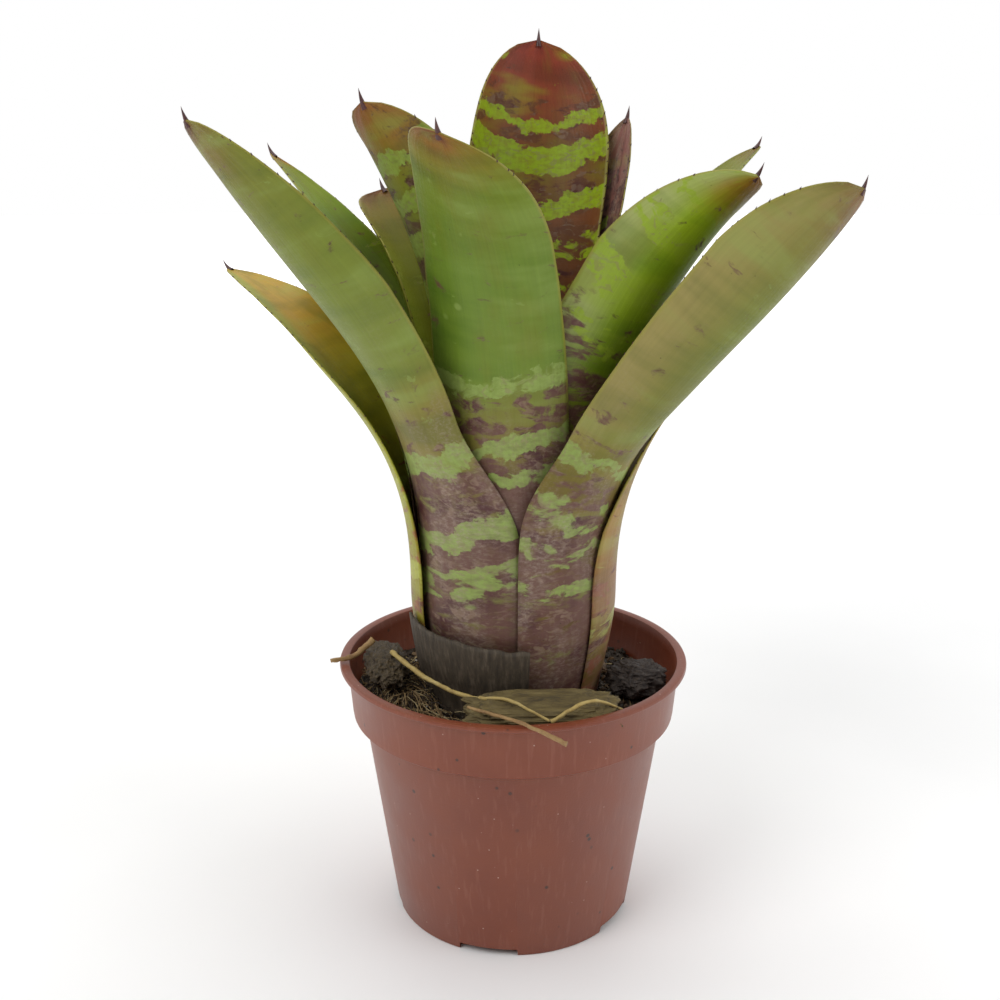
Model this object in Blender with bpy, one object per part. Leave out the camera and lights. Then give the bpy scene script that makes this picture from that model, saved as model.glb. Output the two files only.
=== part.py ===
"""Potted neoregelia: a small plastic pot, potting mix, a short stem and a rosette of leaves.

Metres, +Z up. The pot stands on z = 0 with its base centred on the origin,
and the side that faces the viewer is -Y. Azimuths are degrees from +X, so -90 is the front.

The leaves grow from a short cone of stem. Each has a sheath, which wraps round the plant's
axis on a layer of its own, and a blade, which bends outwards above the sheath.
"""
import math
from collections import namedtuple

import bmesh
import bpy
from mathutils import Matrix, Vector

MM = 0.001

# Clearances, in mm
SEAT_GAP = 0.3
STEM_GAP = 0.6
POCKET_GAP = 0.45

# Pot, in mm
POT_HEIGHT = 69.6
RIM_RADIUS = 45.0
LIP_HEIGHT = 1.5
COLLAR_TOP_RADIUS = 43.0
COLLAR_FOOT_RADIUS = 42.0
COLLAR_HEIGHT = 15.3
BODY_TOP_RADIUS = 38.9
BASE_RADIUS = 31.3
WALL = 1.1
FLOOR = 1.2
EDGE = 0.6
NOTCHES = 5
NOTCH_WIDTH = 15.0
NOTCH_HEIGHT = 2.0
NOTCH_DEPTH = 6.0
FIRST_NOTCH_AZIMUTH = -102
POT_STEPS = 48

# Rounded step under the pot's collar: how far in from the collar's foot and how far above
# the step each corner lies, outside the wall and then inside it, in mm
COLLAR_STEP_OUTSIDE = ((1.0, 0.4), (0.2, 1.2), (0.0, 2.5))
COLLAR_STEP_INSIDE = ((1.1, 2.0), (2.2, 0.8))

# Sheath layers: layer 0 holds the lowest leaves, and each next one lies inside it, in mm
OUTER_SHEATH_RADIUS = 25.6
LAYER_PITCH = 1.3
LEAF_THICKNESS = 0.8
LOWEST_BASE = 46.0
BASE_STEP = 1.6
OLD_SHEATH_LAYER = -1
YOUNGEST_LAYER = 8
WAIST_FACTOR = 0.80
WAIST_FROM = 48.0
WAIST_TO = 88.0

# Leaf shape
CURL_FROM = 0.7
CURL_POWER = 1.5
SWELL_TO = 0.75
TIP_POWER = 2.2
CUP_LEAD = 10
CUP_RUN = 25
LEAST_HALF_WIDTH = 0.6
LEAF_ROWS = 18
PURPLE_LEAVES = ("leaf_upper_left", "leaf_upper_right", "leaf_tall_back")

# Old sheath: azimuths in degrees, heights in mm
OLD_SHEATH_AZIMUTH = -123.5
OLD_SHEATH_WRAP = 41.5
OLD_SHEATH_TOP_LEFT = 83.5
OLD_SHEATH_TOP_RIGHT = 80.5
OLD_SHEATH_ROWS = 5

# Stem below the sheaths: radius and height of its lower corners, in mm
STEM_SHOULDER_DROP = 1.0
STEM_LOWER = ((14.0, 36.0), (8.0, 28.0), (0.0, 27.0))

# Potting mix, in mm
MIX_LEVEL = 59.0
MIX_RINGS = (29.0, 33.0, 37.0)
MIX_SLOPE = 1.4
MIX_STEP_GAP = 0.6
POCKET_MIDDLE = 50.0

Leaf = namedtuple(
    "Leaf",
    "name layer azimuth length lean rise turn wrap half_width cup narrow_from narrow_to"
    " tip side curl twist point swell",
)
Bump = namedtuple("Bump", "x y height spread")
Lump = namedtuple("Lump", "name x y z size tilt turn color")
Strand = namedtuple("Strand", "name radius color points")

LEAVES = (
    Leaf("leaf_low_left", layer=0, azimuth=155, length=151, lean=48,
         rise=42, turn=58, wrap=54, half_width=19.5, cup=37,
         narrow_from=45, narrow_to=93, tip=63, side=-11,
         curl=27, twist=9, point=0.6, swell=0.2),
    Leaf("leaf_low_right", layer=0, azimuth=16, length=114, lean=37,
         rise=42, turn=54, wrap=58, half_width=17.5, cup=39,
         narrow_from=46, narrow_to=86, tip=53, side=7,
         curl=9, twist=-11, point=0.45, swell=0.12),
    Leaf("leaf_front_right", layer=1, azimuth=-28, length=161, lean=40,
         rise=49, turn=45, wrap=60, half_width=20.5, cup=50,
         narrow_from=60, narrow_to=80, tip=27, side=17,
         curl=-11, twist=1, point=0.15, swell=0.2),
    Leaf("leaf_back_left_low", layer=1, azimuth=131, length=150, lean=44,
         rise=47, turn=50, wrap=54, half_width=18.5, cup=40,
         narrow_from=40, narrow_to=80, tip=35, side=1,
         curl=1, twist=3, point=0.4, swell=0.16),
    Leaf("leaf_front_left", layer=2, azimuth=-158, length=170, lean=36,
         rise=39, turn=81, wrap=72, half_width=18.5, cup=48,
         narrow_from=55, narrow_to=85, tip=50, side=3,
         curl=0, twist=-15, point=0.25, swell=0.1),
    Leaf("leaf_back_right", layer=2, azimuth=30, length=168, lean=34,
         rise=46, turn=75, wrap=60, half_width=13.5, cup=36,
         narrow_from=49, narrow_to=82, tip=58, side=2,
         curl=26, twist=8, point=0.1, swell=0.04),
    Leaf("leaf_front", layer=3, azimuth=-101, length=164, lean=31,
         rise=62, turn=74, wrap=67, half_width=17.5, cup=40,
         narrow_from=60, narrow_to=83, tip=33, side=-5,
         curl=29, twist=26, point=0.1, swell=-0.02),
    Leaf("leaf_back_low", layer=3, azimuth=90, length=158, lean=45,
         rise=61, turn=54, wrap=60, half_width=17.5, cup=43,
         narrow_from=47, narrow_to=82, tip=42, side=6,
         curl=-1, twist=17, point=0.5, swell=0.14),
    Leaf("leaf_left", layer=4, azimuth=164, length=160, lean=31,
         rise=60, turn=39, wrap=75, half_width=19.5, cup=56,
         narrow_from=48, narrow_to=84, tip=66, side=-12,
         curl=22, twist=5, point=0.65, swell=0.14),
    Leaf("leaf_right", layer=4, azimuth=-39, length=152, lean=27,
         rise=51, turn=60, wrap=81, half_width=22.5, cup=66,
         narrow_from=40, narrow_to=117, tip=29, side=16,
         curl=24, twist=2, point=0.25, swell=-0.1),
    Leaf("leaf_back_left", layer=5, azimuth=134, length=142, lean=29,
         rise=59, turn=76, wrap=72, half_width=18, cup=52,
         narrow_from=46, narrow_to=90, tip=23, side=6,
         curl=22, twist=6, point=0.1, swell=0.2),
    Leaf("leaf_upper_left", layer=6, azimuth=-130, length=158, lean=31,
         rise=69, turn=82, wrap=71, half_width=16, cup=61,
         narrow_from=43, narrow_to=84, tip=36, side=-10,
         curl=2, twist=1, point=0.1, swell=0.04),
    Leaf("leaf_upper_right", layer=6, azimuth=34, length=152, lean=14,
         rise=54, turn=89, wrap=76, half_width=15, cup=47,
         narrow_from=51, narrow_to=101, tip=46, side=-2,
         curl=8, twist=-5, point=0.65, swell=0.16),
    Leaf("leaf_tall_back", layer=7, azimuth=78, length=168, lean=11,
         rise=76, turn=62, wrap=75, half_width=20, cup=63,
         narrow_from=50, narrow_to=92, tip=27, side=-1,
         curl=-4, twist=-24, point=0.3, swell=0.08),
    Leaf("leaf_young", layer=8, azimuth=-58, length=96, lean=2,
         rise=60, turn=40, wrap=80, half_width=13, cup=100,
         narrow_from=50, narrow_to=90, tip=34, side=0,
         curl=-1, twist=1, point=0.5, swell=0.16),
)

# Rises and hollows of the mix's surface, in mm
BUMPS = (
    Bump(x=-31, y=-7, height=7.0, spread=13),
    Bump(x=5, y=-31, height=4.3, spread=13),
    Bump(x=4, y=-23, height=3.5, spread=6),
    Bump(x=32, y=-8, height=3.0, spread=11),
    Bump(x=0, y=33, height=-2.0, spread=20),
)

# Loose pieces that lie on the mix: centre, half sizes and tilt towards the front
LUMPS = (
    Lump("bark_chunk", 7.0, -31.6, 67.2, (19.0, 6.2, 3.6), 18, 4, (0.20, 0.15, 0.06, 1)),
    Lump("soil_clump", 31.5, -9.0, 66.2, (7.5, 7.0, 4.2), 0, 10, (0.04, 0.03, 0.02, 1)),
    Lump("fibre_clump", -32.6, -7.0, 69.2, (5.4, 13.0, 3.4), 0, 10, (0.15, 0.09, 0.04, 1)),
)

# Roots and straws, as the points that they run through, in mm
STRANDS = (
    Strand("long_root", 0.7, (0.42, 0.31, 0.10, 1),
           ((-31.0, -9.0, 73.4), (-21.0, -20.5, 71.0), (-11.0, -28.0, 69.8),
            (-1.5, -33.5, 71.4), (8.0, -39.6, 69.0))),
    Strand("rim_straw", 0.7, (0.30, 0.18, 0.07, 1),
           ((-11.0, -36.5, 71.0), (1.0, -44.0, 70.7), (11.5, -50.5, 68.6))),
    Strand("rim_twig", 0.9, (0.16, 0.10, 0.06, 1),
           ((-46.5, -8.5, 70.8), (-41.0, -6.5, 71.2), (-36.0, -4.5, 75.0))),
    Strand("arched_root", 0.6, (0.36, 0.22, 0.08, 1),
           ((8.5, -38.8, 68.4), (18.0, -35.5, 72.2), (27.0, -30.5, 67.0))),
)

SKIN_GREEN = (0.16, 0.26, 0.04, 1)
SKIN_PURPLE = (0.16, 0.06, 0.06, 1)
OLD_SHEATH_COLOR = (0.14, 0.10, 0.06, 1)
STEM_COLOR = (0.30, 0.24, 0.12, 1)
MIX_COLOR = (0.035, 0.022, 0.014, 1)
POT_COLOR = (0.30, 0.095, 0.05, 1)


def clear_scene():
    """Remove what the start-up file holds."""
    for item in list(bpy.data.objects):
        bpy.data.objects.remove(item, do_unlink=True)


def give_material(item, color, roughness=0.6, metallic=0.0):
    """Give an object a plain material of its own."""
    material = bpy.data.materials.new(item.name)
    material.use_nodes = True
    shader = material.node_tree.nodes["Principled BSDF"]
    shader.inputs["Base Color"].default_value = color
    shader.inputs["Roughness"].default_value = roughness
    shader.inputs["Metallic"].default_value = metallic
    item.data.materials.append(material)


def finish_mesh(bm, name, color, roughness=0.6):
    """Turn a bmesh into a named object with faces that point outwards."""
    bmesh.ops.recalc_face_normals(bm, faces=bm.faces)
    if bm.calc_volume(signed=True) < 0:
        bmesh.ops.reverse_faces(bm, faces=bm.faces)
    mesh = bpy.data.meshes.new(name)
    bm.to_mesh(mesh)
    bm.free()
    item = bpy.data.objects.new(name, mesh)
    bpy.context.collection.objects.link(item)
    give_material(item, color, roughness)
    return item


def spin_profile(outline, steps=POT_STEPS):
    """Turn an outline of (radius, height) points in mm, from axis to axis, round the Z axis."""
    bm = bmesh.new()
    verts = [bm.verts.new((radius * MM, 0, height * MM)) for radius, height in outline]
    edges = [bm.edges.new(pair) for pair in zip(verts, verts[1:])]
    bmesh.ops.spin(bm, geom=verts + edges, cent=(0, 0, 0), axis=(0, 0, 1),
                   angle=math.tau, steps=steps, use_merge=True)
    bmesh.ops.remove_doubles(bm, verts=bm.verts, dist=0.001 * MM)
    return bm


def ease(t):
    """Smooth step from 0 to 1."""
    t = min(max(t, 0.0), 1.0)
    return t * t * (3 - 2 * t)


def waist(height):
    """How far the whole rosette is drawn in towards its axis at a height in mm."""
    grow = ease((height - WAIST_FROM) / (WAIST_TO - WAIST_FROM))
    return WAIST_FACTOR + (1 - WAIST_FACTOR) * grow


def sheath_radius(layer):
    return OUTER_SHEATH_RADIUS - LAYER_PITCH * layer


def sheath_base(layer):
    return LOWEST_BASE + BASE_STEP * layer


# Leaf

def leaf_bend(leaf, s):
    """Lean outwards and sideways, in radians, at the distance s along the leaf."""
    curl_from = CURL_FROM * leaf.length
    curling = min(max((s - curl_from) / (leaf.length - curl_from), 0.0), 1.0)
    lean = math.radians(leaf.lean) * ease((s - leaf.rise) / leaf.turn)
    lean += math.radians(leaf.curl) * curling ** CURL_POWER
    swing = min(max((s - leaf.rise) / (leaf.length - leaf.rise), 0.0), 1.0)
    return lean, math.radians(leaf.side) * swing


def leaf_stations(leaf, count):
    """Midrib points with the leaf's inward and sideways directions, in its own frame in mm.

    In this frame X points away from the plant's axis, Y is to the left and Z is up.
    """
    fine = 8
    step = leaf.length / (count * fine)
    place = Vector((sheath_radius(leaf.layer), 0, sheath_base(leaf.layer)))
    stations = []
    for k in range(count * fine + 1):
        s = k * step
        if k % fine == 0:
            stations.append((s, place.copy()) + leaf_directions(leaf, s))
        lean, side = leaf_bend(leaf, s + step / 2)
        run = Vector((math.sin(lean), math.cos(lean) * math.sin(side), math.cos(lean) * math.cos(side)))
        place += run * step
    return stations


def leaf_directions(leaf, s):
    lean, side = leaf_bend(leaf, s)
    inward = Vector((-math.cos(lean), math.sin(lean) * math.sin(side), math.sin(lean) * math.cos(side)))
    left = Vector((0, math.cos(side), -math.sin(side)))
    twist = math.radians(leaf.twist) * ease((s - leaf.rise) / (leaf.length - leaf.rise))
    turned_in = math.cos(twist) * inward + math.sin(twist) * left
    turned_left = math.cos(twist) * left - math.sin(twist) * inward
    return turned_in, turned_left


def leaf_half_width(leaf, s):
    """Half of the leaf's width, measured along its curved section, in mm."""
    sheath = math.radians(leaf.wrap) * sheath_radius(leaf.layer)
    narrowing = ease((s - leaf.narrow_from) / (leaf.narrow_to - leaf.narrow_from))
    width = sheath + (leaf.half_width - sheath) * narrowing
    swelling = (s - leaf.narrow_from) / (SWELL_TO * leaf.length - leaf.narrow_from)
    width *= 1 + leaf.swell * ease(swelling)
    t = min(max((s - leaf.length + leaf.tip) / leaf.tip, 0.0), 1.0)
    blunt = math.sqrt(max(1 - t ** TIP_POWER, 0.0))
    outline = (1 - leaf.point) * blunt + leaf.point * (1 - t)
    return max(width * outline, LEAST_HALF_WIDTH)


def leaf_curvature(leaf, s):
    """Curvature of the leaf's section: the sheath's circle, then the blade's channel."""
    sheath = 1 / sheath_radius(leaf.layer)
    blade = math.radians(leaf.cup) / leaf.half_width
    span = leaf.narrow_to - leaf.narrow_from + CUP_RUN
    return sheath + (blade - sheath) * ease((s - leaf.narrow_from + CUP_LEAD) / span)


def leaf_point(leaf, station, across, lift):
    """World point of the leaf; across runs from -1 to 1 and lift is outwards, in mm."""
    s, place, inward, left = station
    bend = leaf_curvature(leaf, s)
    angle = bend * across * leaf_half_width(leaf, s)
    outward = left * math.sin(angle) - inward * math.cos(angle)
    point = place + left * (math.sin(angle) / bend) + inward * ((1 - math.cos(angle)) / bend)
    point += outward * lift
    point.x *= waist(point.z)
    point.y *= waist(point.z)
    return Matrix.Rotation(math.radians(leaf.azimuth), 3, "Z") @ (point * MM)


def sheet_solid(name, rows, columns, place, color):
    """A closed sheet: place gives the world point for a row, a place across and a lift."""
    bm = bmesh.new()
    bmesh.ops.create_grid(bm, x_segments=columns, y_segments=rows, size=1)
    grown = bmesh.ops.extrude_face_region(bm, geom=bm.faces[:] + bm.edges[:] + bm.verts[:],
                                          use_keep_orig=True)
    outer = {item for item in grown["geom"] if isinstance(item, bmesh.types.BMVert)}
    for vert in bm.verts:
        row = round((vert.co.y + 1) / 2 * rows)
        vert.co = place(row, vert.co.x, LEAF_THICKNESS if vert in outer else 0.0)
    return finish_mesh(bm, name, color, roughness=0.45)


def build_leaf(leaf):
    columns = 8 if leaf.wrap <= 62 else 10
    stations = leaf_stations(leaf, LEAF_ROWS)
    color = SKIN_PURPLE if leaf.name in PURPLE_LEAVES else SKIN_GREEN

    def place(row, across, lift):
        return leaf_point(leaf, stations[row], across, lift)

    return sheet_solid(leaf.name, LEAF_ROWS, columns, place, color)


def build_old_sheath():
    """The dry, cut remnant of an older leaf's sheath, low at the front."""

    def place(row, across, lift):
        azimuth = OLD_SHEATH_AZIMUTH + OLD_SHEATH_WRAP * across
        slant = OLD_SHEATH_TOP_LEFT + (OLD_SHEATH_TOP_RIGHT - OLD_SHEATH_TOP_LEFT) * (across + 1) / 2
        base = sheath_base(OLD_SHEATH_LAYER)
        height = base + (slant - base) * row / OLD_SHEATH_ROWS
        radius = (sheath_radius(OLD_SHEATH_LAYER) + lift) * waist(height)
        angle = math.radians(azimuth)
        return Vector((radius * math.cos(angle), radius * math.sin(angle), height)) * MM

    return sheet_solid("old_sheath", OLD_SHEATH_ROWS, 8, place, OLD_SHEATH_COLOR)


# Stem

def stem_outline():
    """Outline of the stem, from its top on the axis to its lower end."""
    top = sheath_base(YOUNGEST_LAYER) - STEM_GAP
    points = [(0.0, top)]
    for layer in range(YOUNGEST_LAYER, OLD_SHEATH_LAYER - 1, -1):
        height = sheath_base(layer) - STEM_GAP
        points.append((sheath_radius(layer) * waist(height), height))
    shoulder = sheath_base(OLD_SHEATH_LAYER) - STEM_GAP - STEM_SHOULDER_DROP
    rim = sheath_radius(OLD_SHEATH_LAYER) + LEAF_THICKNESS
    points.append((rim * waist(shoulder), shoulder))
    return points + list(STEM_LOWER)


def build_stem():
    return finish_mesh(spin_profile(stem_outline()), "stem", STEM_COLOR)


# Pot

def pot_outline():
    """Outline of the pot's wall, from the axis under the base to the axis on the floor."""
    shoulder = POT_HEIGHT - COLLAR_HEIGHT
    lip_foot = POT_HEIGHT - LIP_HEIGHT
    inner_foot = shoulder + WALL
    step_outside = [(COLLAR_FOOT_RADIUS - inset, shoulder + rise) for inset, rise in COLLAR_STEP_OUTSIDE]
    step_inside = [(COLLAR_FOOT_RADIUS - inset, inner_foot + rise) for inset, rise in COLLAR_STEP_INSIDE]
    return [
        (0, 0),
        (BASE_RADIUS - EDGE, 0),
        (BASE_RADIUS, EDGE),
        (BODY_TOP_RADIUS, shoulder),
        *step_outside,
        (COLLAR_TOP_RADIUS, lip_foot),
        (RIM_RADIUS - EDGE, lip_foot),
        (RIM_RADIUS, lip_foot + EDGE),
        (RIM_RADIUS, POT_HEIGHT - EDGE),
        (RIM_RADIUS - EDGE, POT_HEIGHT),
        (COLLAR_TOP_RADIUS, POT_HEIGHT),
        (COLLAR_TOP_RADIUS - EDGE, POT_HEIGHT - EDGE),
        (COLLAR_TOP_RADIUS - WALL, lip_foot - WALL),
        *step_inside,
        (BODY_TOP_RADIUS - WALL, inner_foot),
        (BASE_RADIUS - WALL, FLOOR + EDGE),
        (BASE_RADIUS - WALL - EDGE, FLOOR),
        (0, FLOOR),
    ]


def build_pot():
    """The pot, with drainage notches cut through the lower edge of its wall."""
    pot = finish_mesh(spin_profile(pot_outline()), "pot", POT_COLOR, roughness=0.4)
    bm = bmesh.new()
    for k in range(NOTCHES):
        angle = math.radians(FIRST_NOTCH_AZIMUTH + k * 360 / NOTCHES)
        turn = Matrix.Rotation(angle, 4, "Z")
        shift = Matrix.Translation((BASE_RADIUS * MM, 0, 0))
        grow = Matrix.Diagonal((NOTCH_DEPTH * MM, NOTCH_WIDTH * MM, 2 * NOTCH_HEIGHT * MM, 1))
        bmesh.ops.create_cube(bm, size=1, matrix=turn @ shift @ grow)
    cutter = finish_mesh(bm, "notch_cutter", POT_COLOR)
    cutter.hide_render = True
    cutter.display_type = "WIRE"
    cut = pot.modifiers.new("drainage notches", "BOOLEAN")
    cut.object = cutter
    cut.solver = "EXACT"
    return pot


# Potting mix

def mix_height(x, y):
    """Height of the mix's surface in mm."""
    height = MIX_LEVEL
    for bump in BUMPS:
        away = ((x - bump.x) ** 2 + (y - bump.y) ** 2) / bump.spread ** 2
        height += bump.height * math.exp(-away)
    return height


def pocket_radius(height):
    """Radius of the pocket in the mix that the sheaths stand in."""
    rim = sheath_radius(OLD_SHEATH_LAYER) + LEAF_THICKNESS
    return (rim + POCKET_GAP) * waist(height)


def mix_outline():
    """Outline of the mix, from the axis in the stem's pocket to the axis under it."""
    shoulder = sheath_base(OLD_SHEATH_LAYER) - STEM_GAP - STEM_SHOULDER_DROP
    collar_step = POT_HEIGHT - COLLAR_HEIGHT + WALL
    wall_radius = COLLAR_FOOT_RADIUS - WALL - SEAT_GAP
    points = [(r + (POCKET_GAP if r else 0), z - POCKET_GAP) for r, z in reversed(STEM_LOWER)]
    points.append((pocket_radius(shoulder), shoulder - POCKET_GAP))
    points.append((pocket_radius(POCKET_MIDDLE), POCKET_MIDDLE))
    points.append((pocket_radius(MIX_LEVEL), MIX_LEVEL))
    points += [(radius, MIX_LEVEL) for radius in MIX_RINGS]
    points.append((wall_radius, MIX_LEVEL))
    points.append((wall_radius - MIX_SLOPE, collar_step + MIX_SLOPE))
    points.append((BODY_TOP_RADIUS - WALL - MIX_STEP_GAP, collar_step))
    points.append((BASE_RADIUS - WALL - SEAT_GAP, FLOOR + EDGE + SEAT_GAP))
    points.append((BASE_RADIUS - WALL - EDGE - SEAT_GAP, FLOOR + SEAT_GAP))
    points.append((0, FLOOR + SEAT_GAP))
    return points


def build_mix():
    bm = spin_profile(mix_outline())
    for vert in bm.verts:
        if vert.co.z / MM < MIX_LEVEL - 0.01:
            continue
        x, y = vert.co.x / MM, vert.co.y / MM
        radius = math.hypot(x, y)
        height = mix_height(x, y)
        grow = pocket_radius(height) / radius if radius < MIX_RINGS[0] - 1 else 1.0
        vert.co = Vector((x * grow, y * grow, height)) * MM
    return finish_mesh(bm, "potting_mix", MIX_COLOR, roughness=0.9)


# Loose pieces on the mix

def build_lump(lump):
    bm = bmesh.new()
    place = Matrix.Translation(Vector((lump.x, lump.y, lump.z)) * MM)
    turn = Matrix.Rotation(math.radians(lump.turn), 4, "Z")
    turn = turn @ Matrix.Rotation(math.radians(lump.tilt), 4, "X")
    size = Matrix.Diagonal([half * MM for half in lump.size] + [1])
    bmesh.ops.create_icosphere(bm, subdivisions=2, radius=1)
    for vert in bm.verts:
        wobble = math.sin(5 * vert.co.x + 3 * vert.co.y) * math.cos(4 * vert.co.z - 2 * vert.co.x)
        vert.co *= 0.94 + 0.06 * wobble
    bmesh.ops.transform(bm, matrix=place @ turn @ size, verts=bm.verts)
    return finish_mesh(bm, lump.name, lump.color, roughness=0.9)


def build_strand(strand):
    """A root or straw as a bevelled curve with filled ends."""
    curve = bpy.data.curves.new(strand.name, "CURVE")
    curve.dimensions = "3D"
    curve.bevel_depth = strand.radius * MM
    curve.bevel_resolution = 1
    curve.use_fill_caps = True
    spline = curve.splines.new("POLY")
    spline.points.add(len(strand.points) - 1)
    for point, place in zip(spline.points, strand.points):
        point.co = (*(Vector(place) * MM), 1)
    item = bpy.data.objects.new(strand.name, curve)
    bpy.context.collection.objects.link(item)
    give_material(item, strand.color, roughness=0.8)
    return item


def main():
    clear_scene()
    build_pot()
    build_mix()
    build_stem()
    build_old_sheath()
    for leaf in LEAVES:
        build_leaf(leaf)
    for lump in LUMPS:
        build_lump(lump)
    for strand in STRANDS:
        build_strand(strand)


main()
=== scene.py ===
"""Potted neoregelia: the detailed pieces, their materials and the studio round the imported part.

Metres in the part's own frame, +Z up, the front is -Y. Azimuths are degrees from +X.
"""
import math
import random
from collections import namedtuple

import bmesh
import bpy
from mathutils import Matrix, Vector, noise


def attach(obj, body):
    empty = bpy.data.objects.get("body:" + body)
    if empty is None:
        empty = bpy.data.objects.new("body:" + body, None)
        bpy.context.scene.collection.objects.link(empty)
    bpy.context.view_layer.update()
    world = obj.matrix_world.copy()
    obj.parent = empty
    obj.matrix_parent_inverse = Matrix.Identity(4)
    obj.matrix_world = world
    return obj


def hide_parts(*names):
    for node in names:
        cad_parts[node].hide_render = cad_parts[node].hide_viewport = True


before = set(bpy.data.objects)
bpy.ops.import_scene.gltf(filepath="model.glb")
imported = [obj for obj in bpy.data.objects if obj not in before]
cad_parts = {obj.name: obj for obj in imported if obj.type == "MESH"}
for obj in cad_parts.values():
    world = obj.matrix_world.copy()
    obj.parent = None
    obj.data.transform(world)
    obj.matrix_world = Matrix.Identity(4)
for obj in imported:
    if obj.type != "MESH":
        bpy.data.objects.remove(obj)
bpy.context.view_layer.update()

MM = 0.001

# Camera: place and distance of its lens, and how far it looks down
CAMERA_PLACE = (-0.0034, -0.3016, 0.1957)
CAMERA_DOWN = 15.69
CAMERA_LENS = 44.59
CAMERA_SENSOR = 36.0

# Pot, in mm
SEAT_GAP = 0.3
STEM_GAP = 0.6
POCKET_GAP = 0.45
POT_HEIGHT = 69.6
RIM_RADIUS = 45.0
LIP_HEIGHT = 1.5
COLLAR_TOP_RADIUS = 43.0
COLLAR_FOOT_RADIUS = 42.0
COLLAR_HEIGHT = 15.3
BODY_TOP_RADIUS = 38.9
BASE_RADIUS = 31.3
WALL = 1.1
FLOOR = 1.2
EDGE = 0.6
NOTCHES = 5
NOTCH_WIDTH = 15.0
NOTCH_HEIGHT = 2.0
FIRST_NOTCH_AZIMUTH = -102
POT_STEPS = 176

# Sheath layers and waist, in mm
OUTER_SHEATH_RADIUS = 25.6
LAYER_PITCH = 1.3
LEAF_THICKNESS = 0.8
MARGIN_THICKNESS = 0.35
LOWEST_BASE = 46.0
BASE_STEP = 1.6
OLD_SHEATH_LAYER = -1
WAIST_FACTOR = 0.80
WAIST_FROM = 48.0
WAIST_TO = 88.0

# Leaf shape
CURL_FROM = 0.7
LEAST_HALF_WIDTH = 0.6
LEAF_ROWS = 110
LEAF_COLUMNS = 36
SPINE_LENGTH = 4.4
SPINE_BEND = Vector((0.0, 0.0, 1.1))
LEAF_SHINE = 0.28
TOOTH_SPACING = 3.3

# Old sheath: azimuths in degrees, heights in mm
OLD_SHEATH_AZIMUTH = -123.5
OLD_SHEATH_WRAP = 41.5
OLD_SHEATH_TOP_LEFT = 83.5
OLD_SHEATH_TOP_RIGHT = 80.5
OLD_SHEATH_ROWS = 30
OLD_SHEATH_COLUMNS = 80

# Potting mix, in mm
MIX_LEVEL = 59.0
MIX_RING_STEP = 0.75
MIX_STEPS = 200
STEM_LOWER = ((14.0, 36.0), (8.0, 28.0), (0.0, 27.0))
STEM_SHOULDER_DROP = 1.0
SPINE_SET_BACK = 2.0

# Studio light
SIDE_GLOW = 0.85
FRONT_GLOW = 0.22
KEY_POWER = 4.0
FILL_POWER = 2.0
TOP_POWER = 3.0

Leaf = namedtuple(
    "Leaf",
    "name layer azimuth length lean rise turn wrap half_width cup narrow_from narrow_to"
    " tip side curl twist point swell",
)
Bump = namedtuple("Bump", "x y height spread")
Lump = namedtuple("Lump", "name x y z size tilt turn color")
Strand = namedtuple("Strand", "name radius color points")

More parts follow.
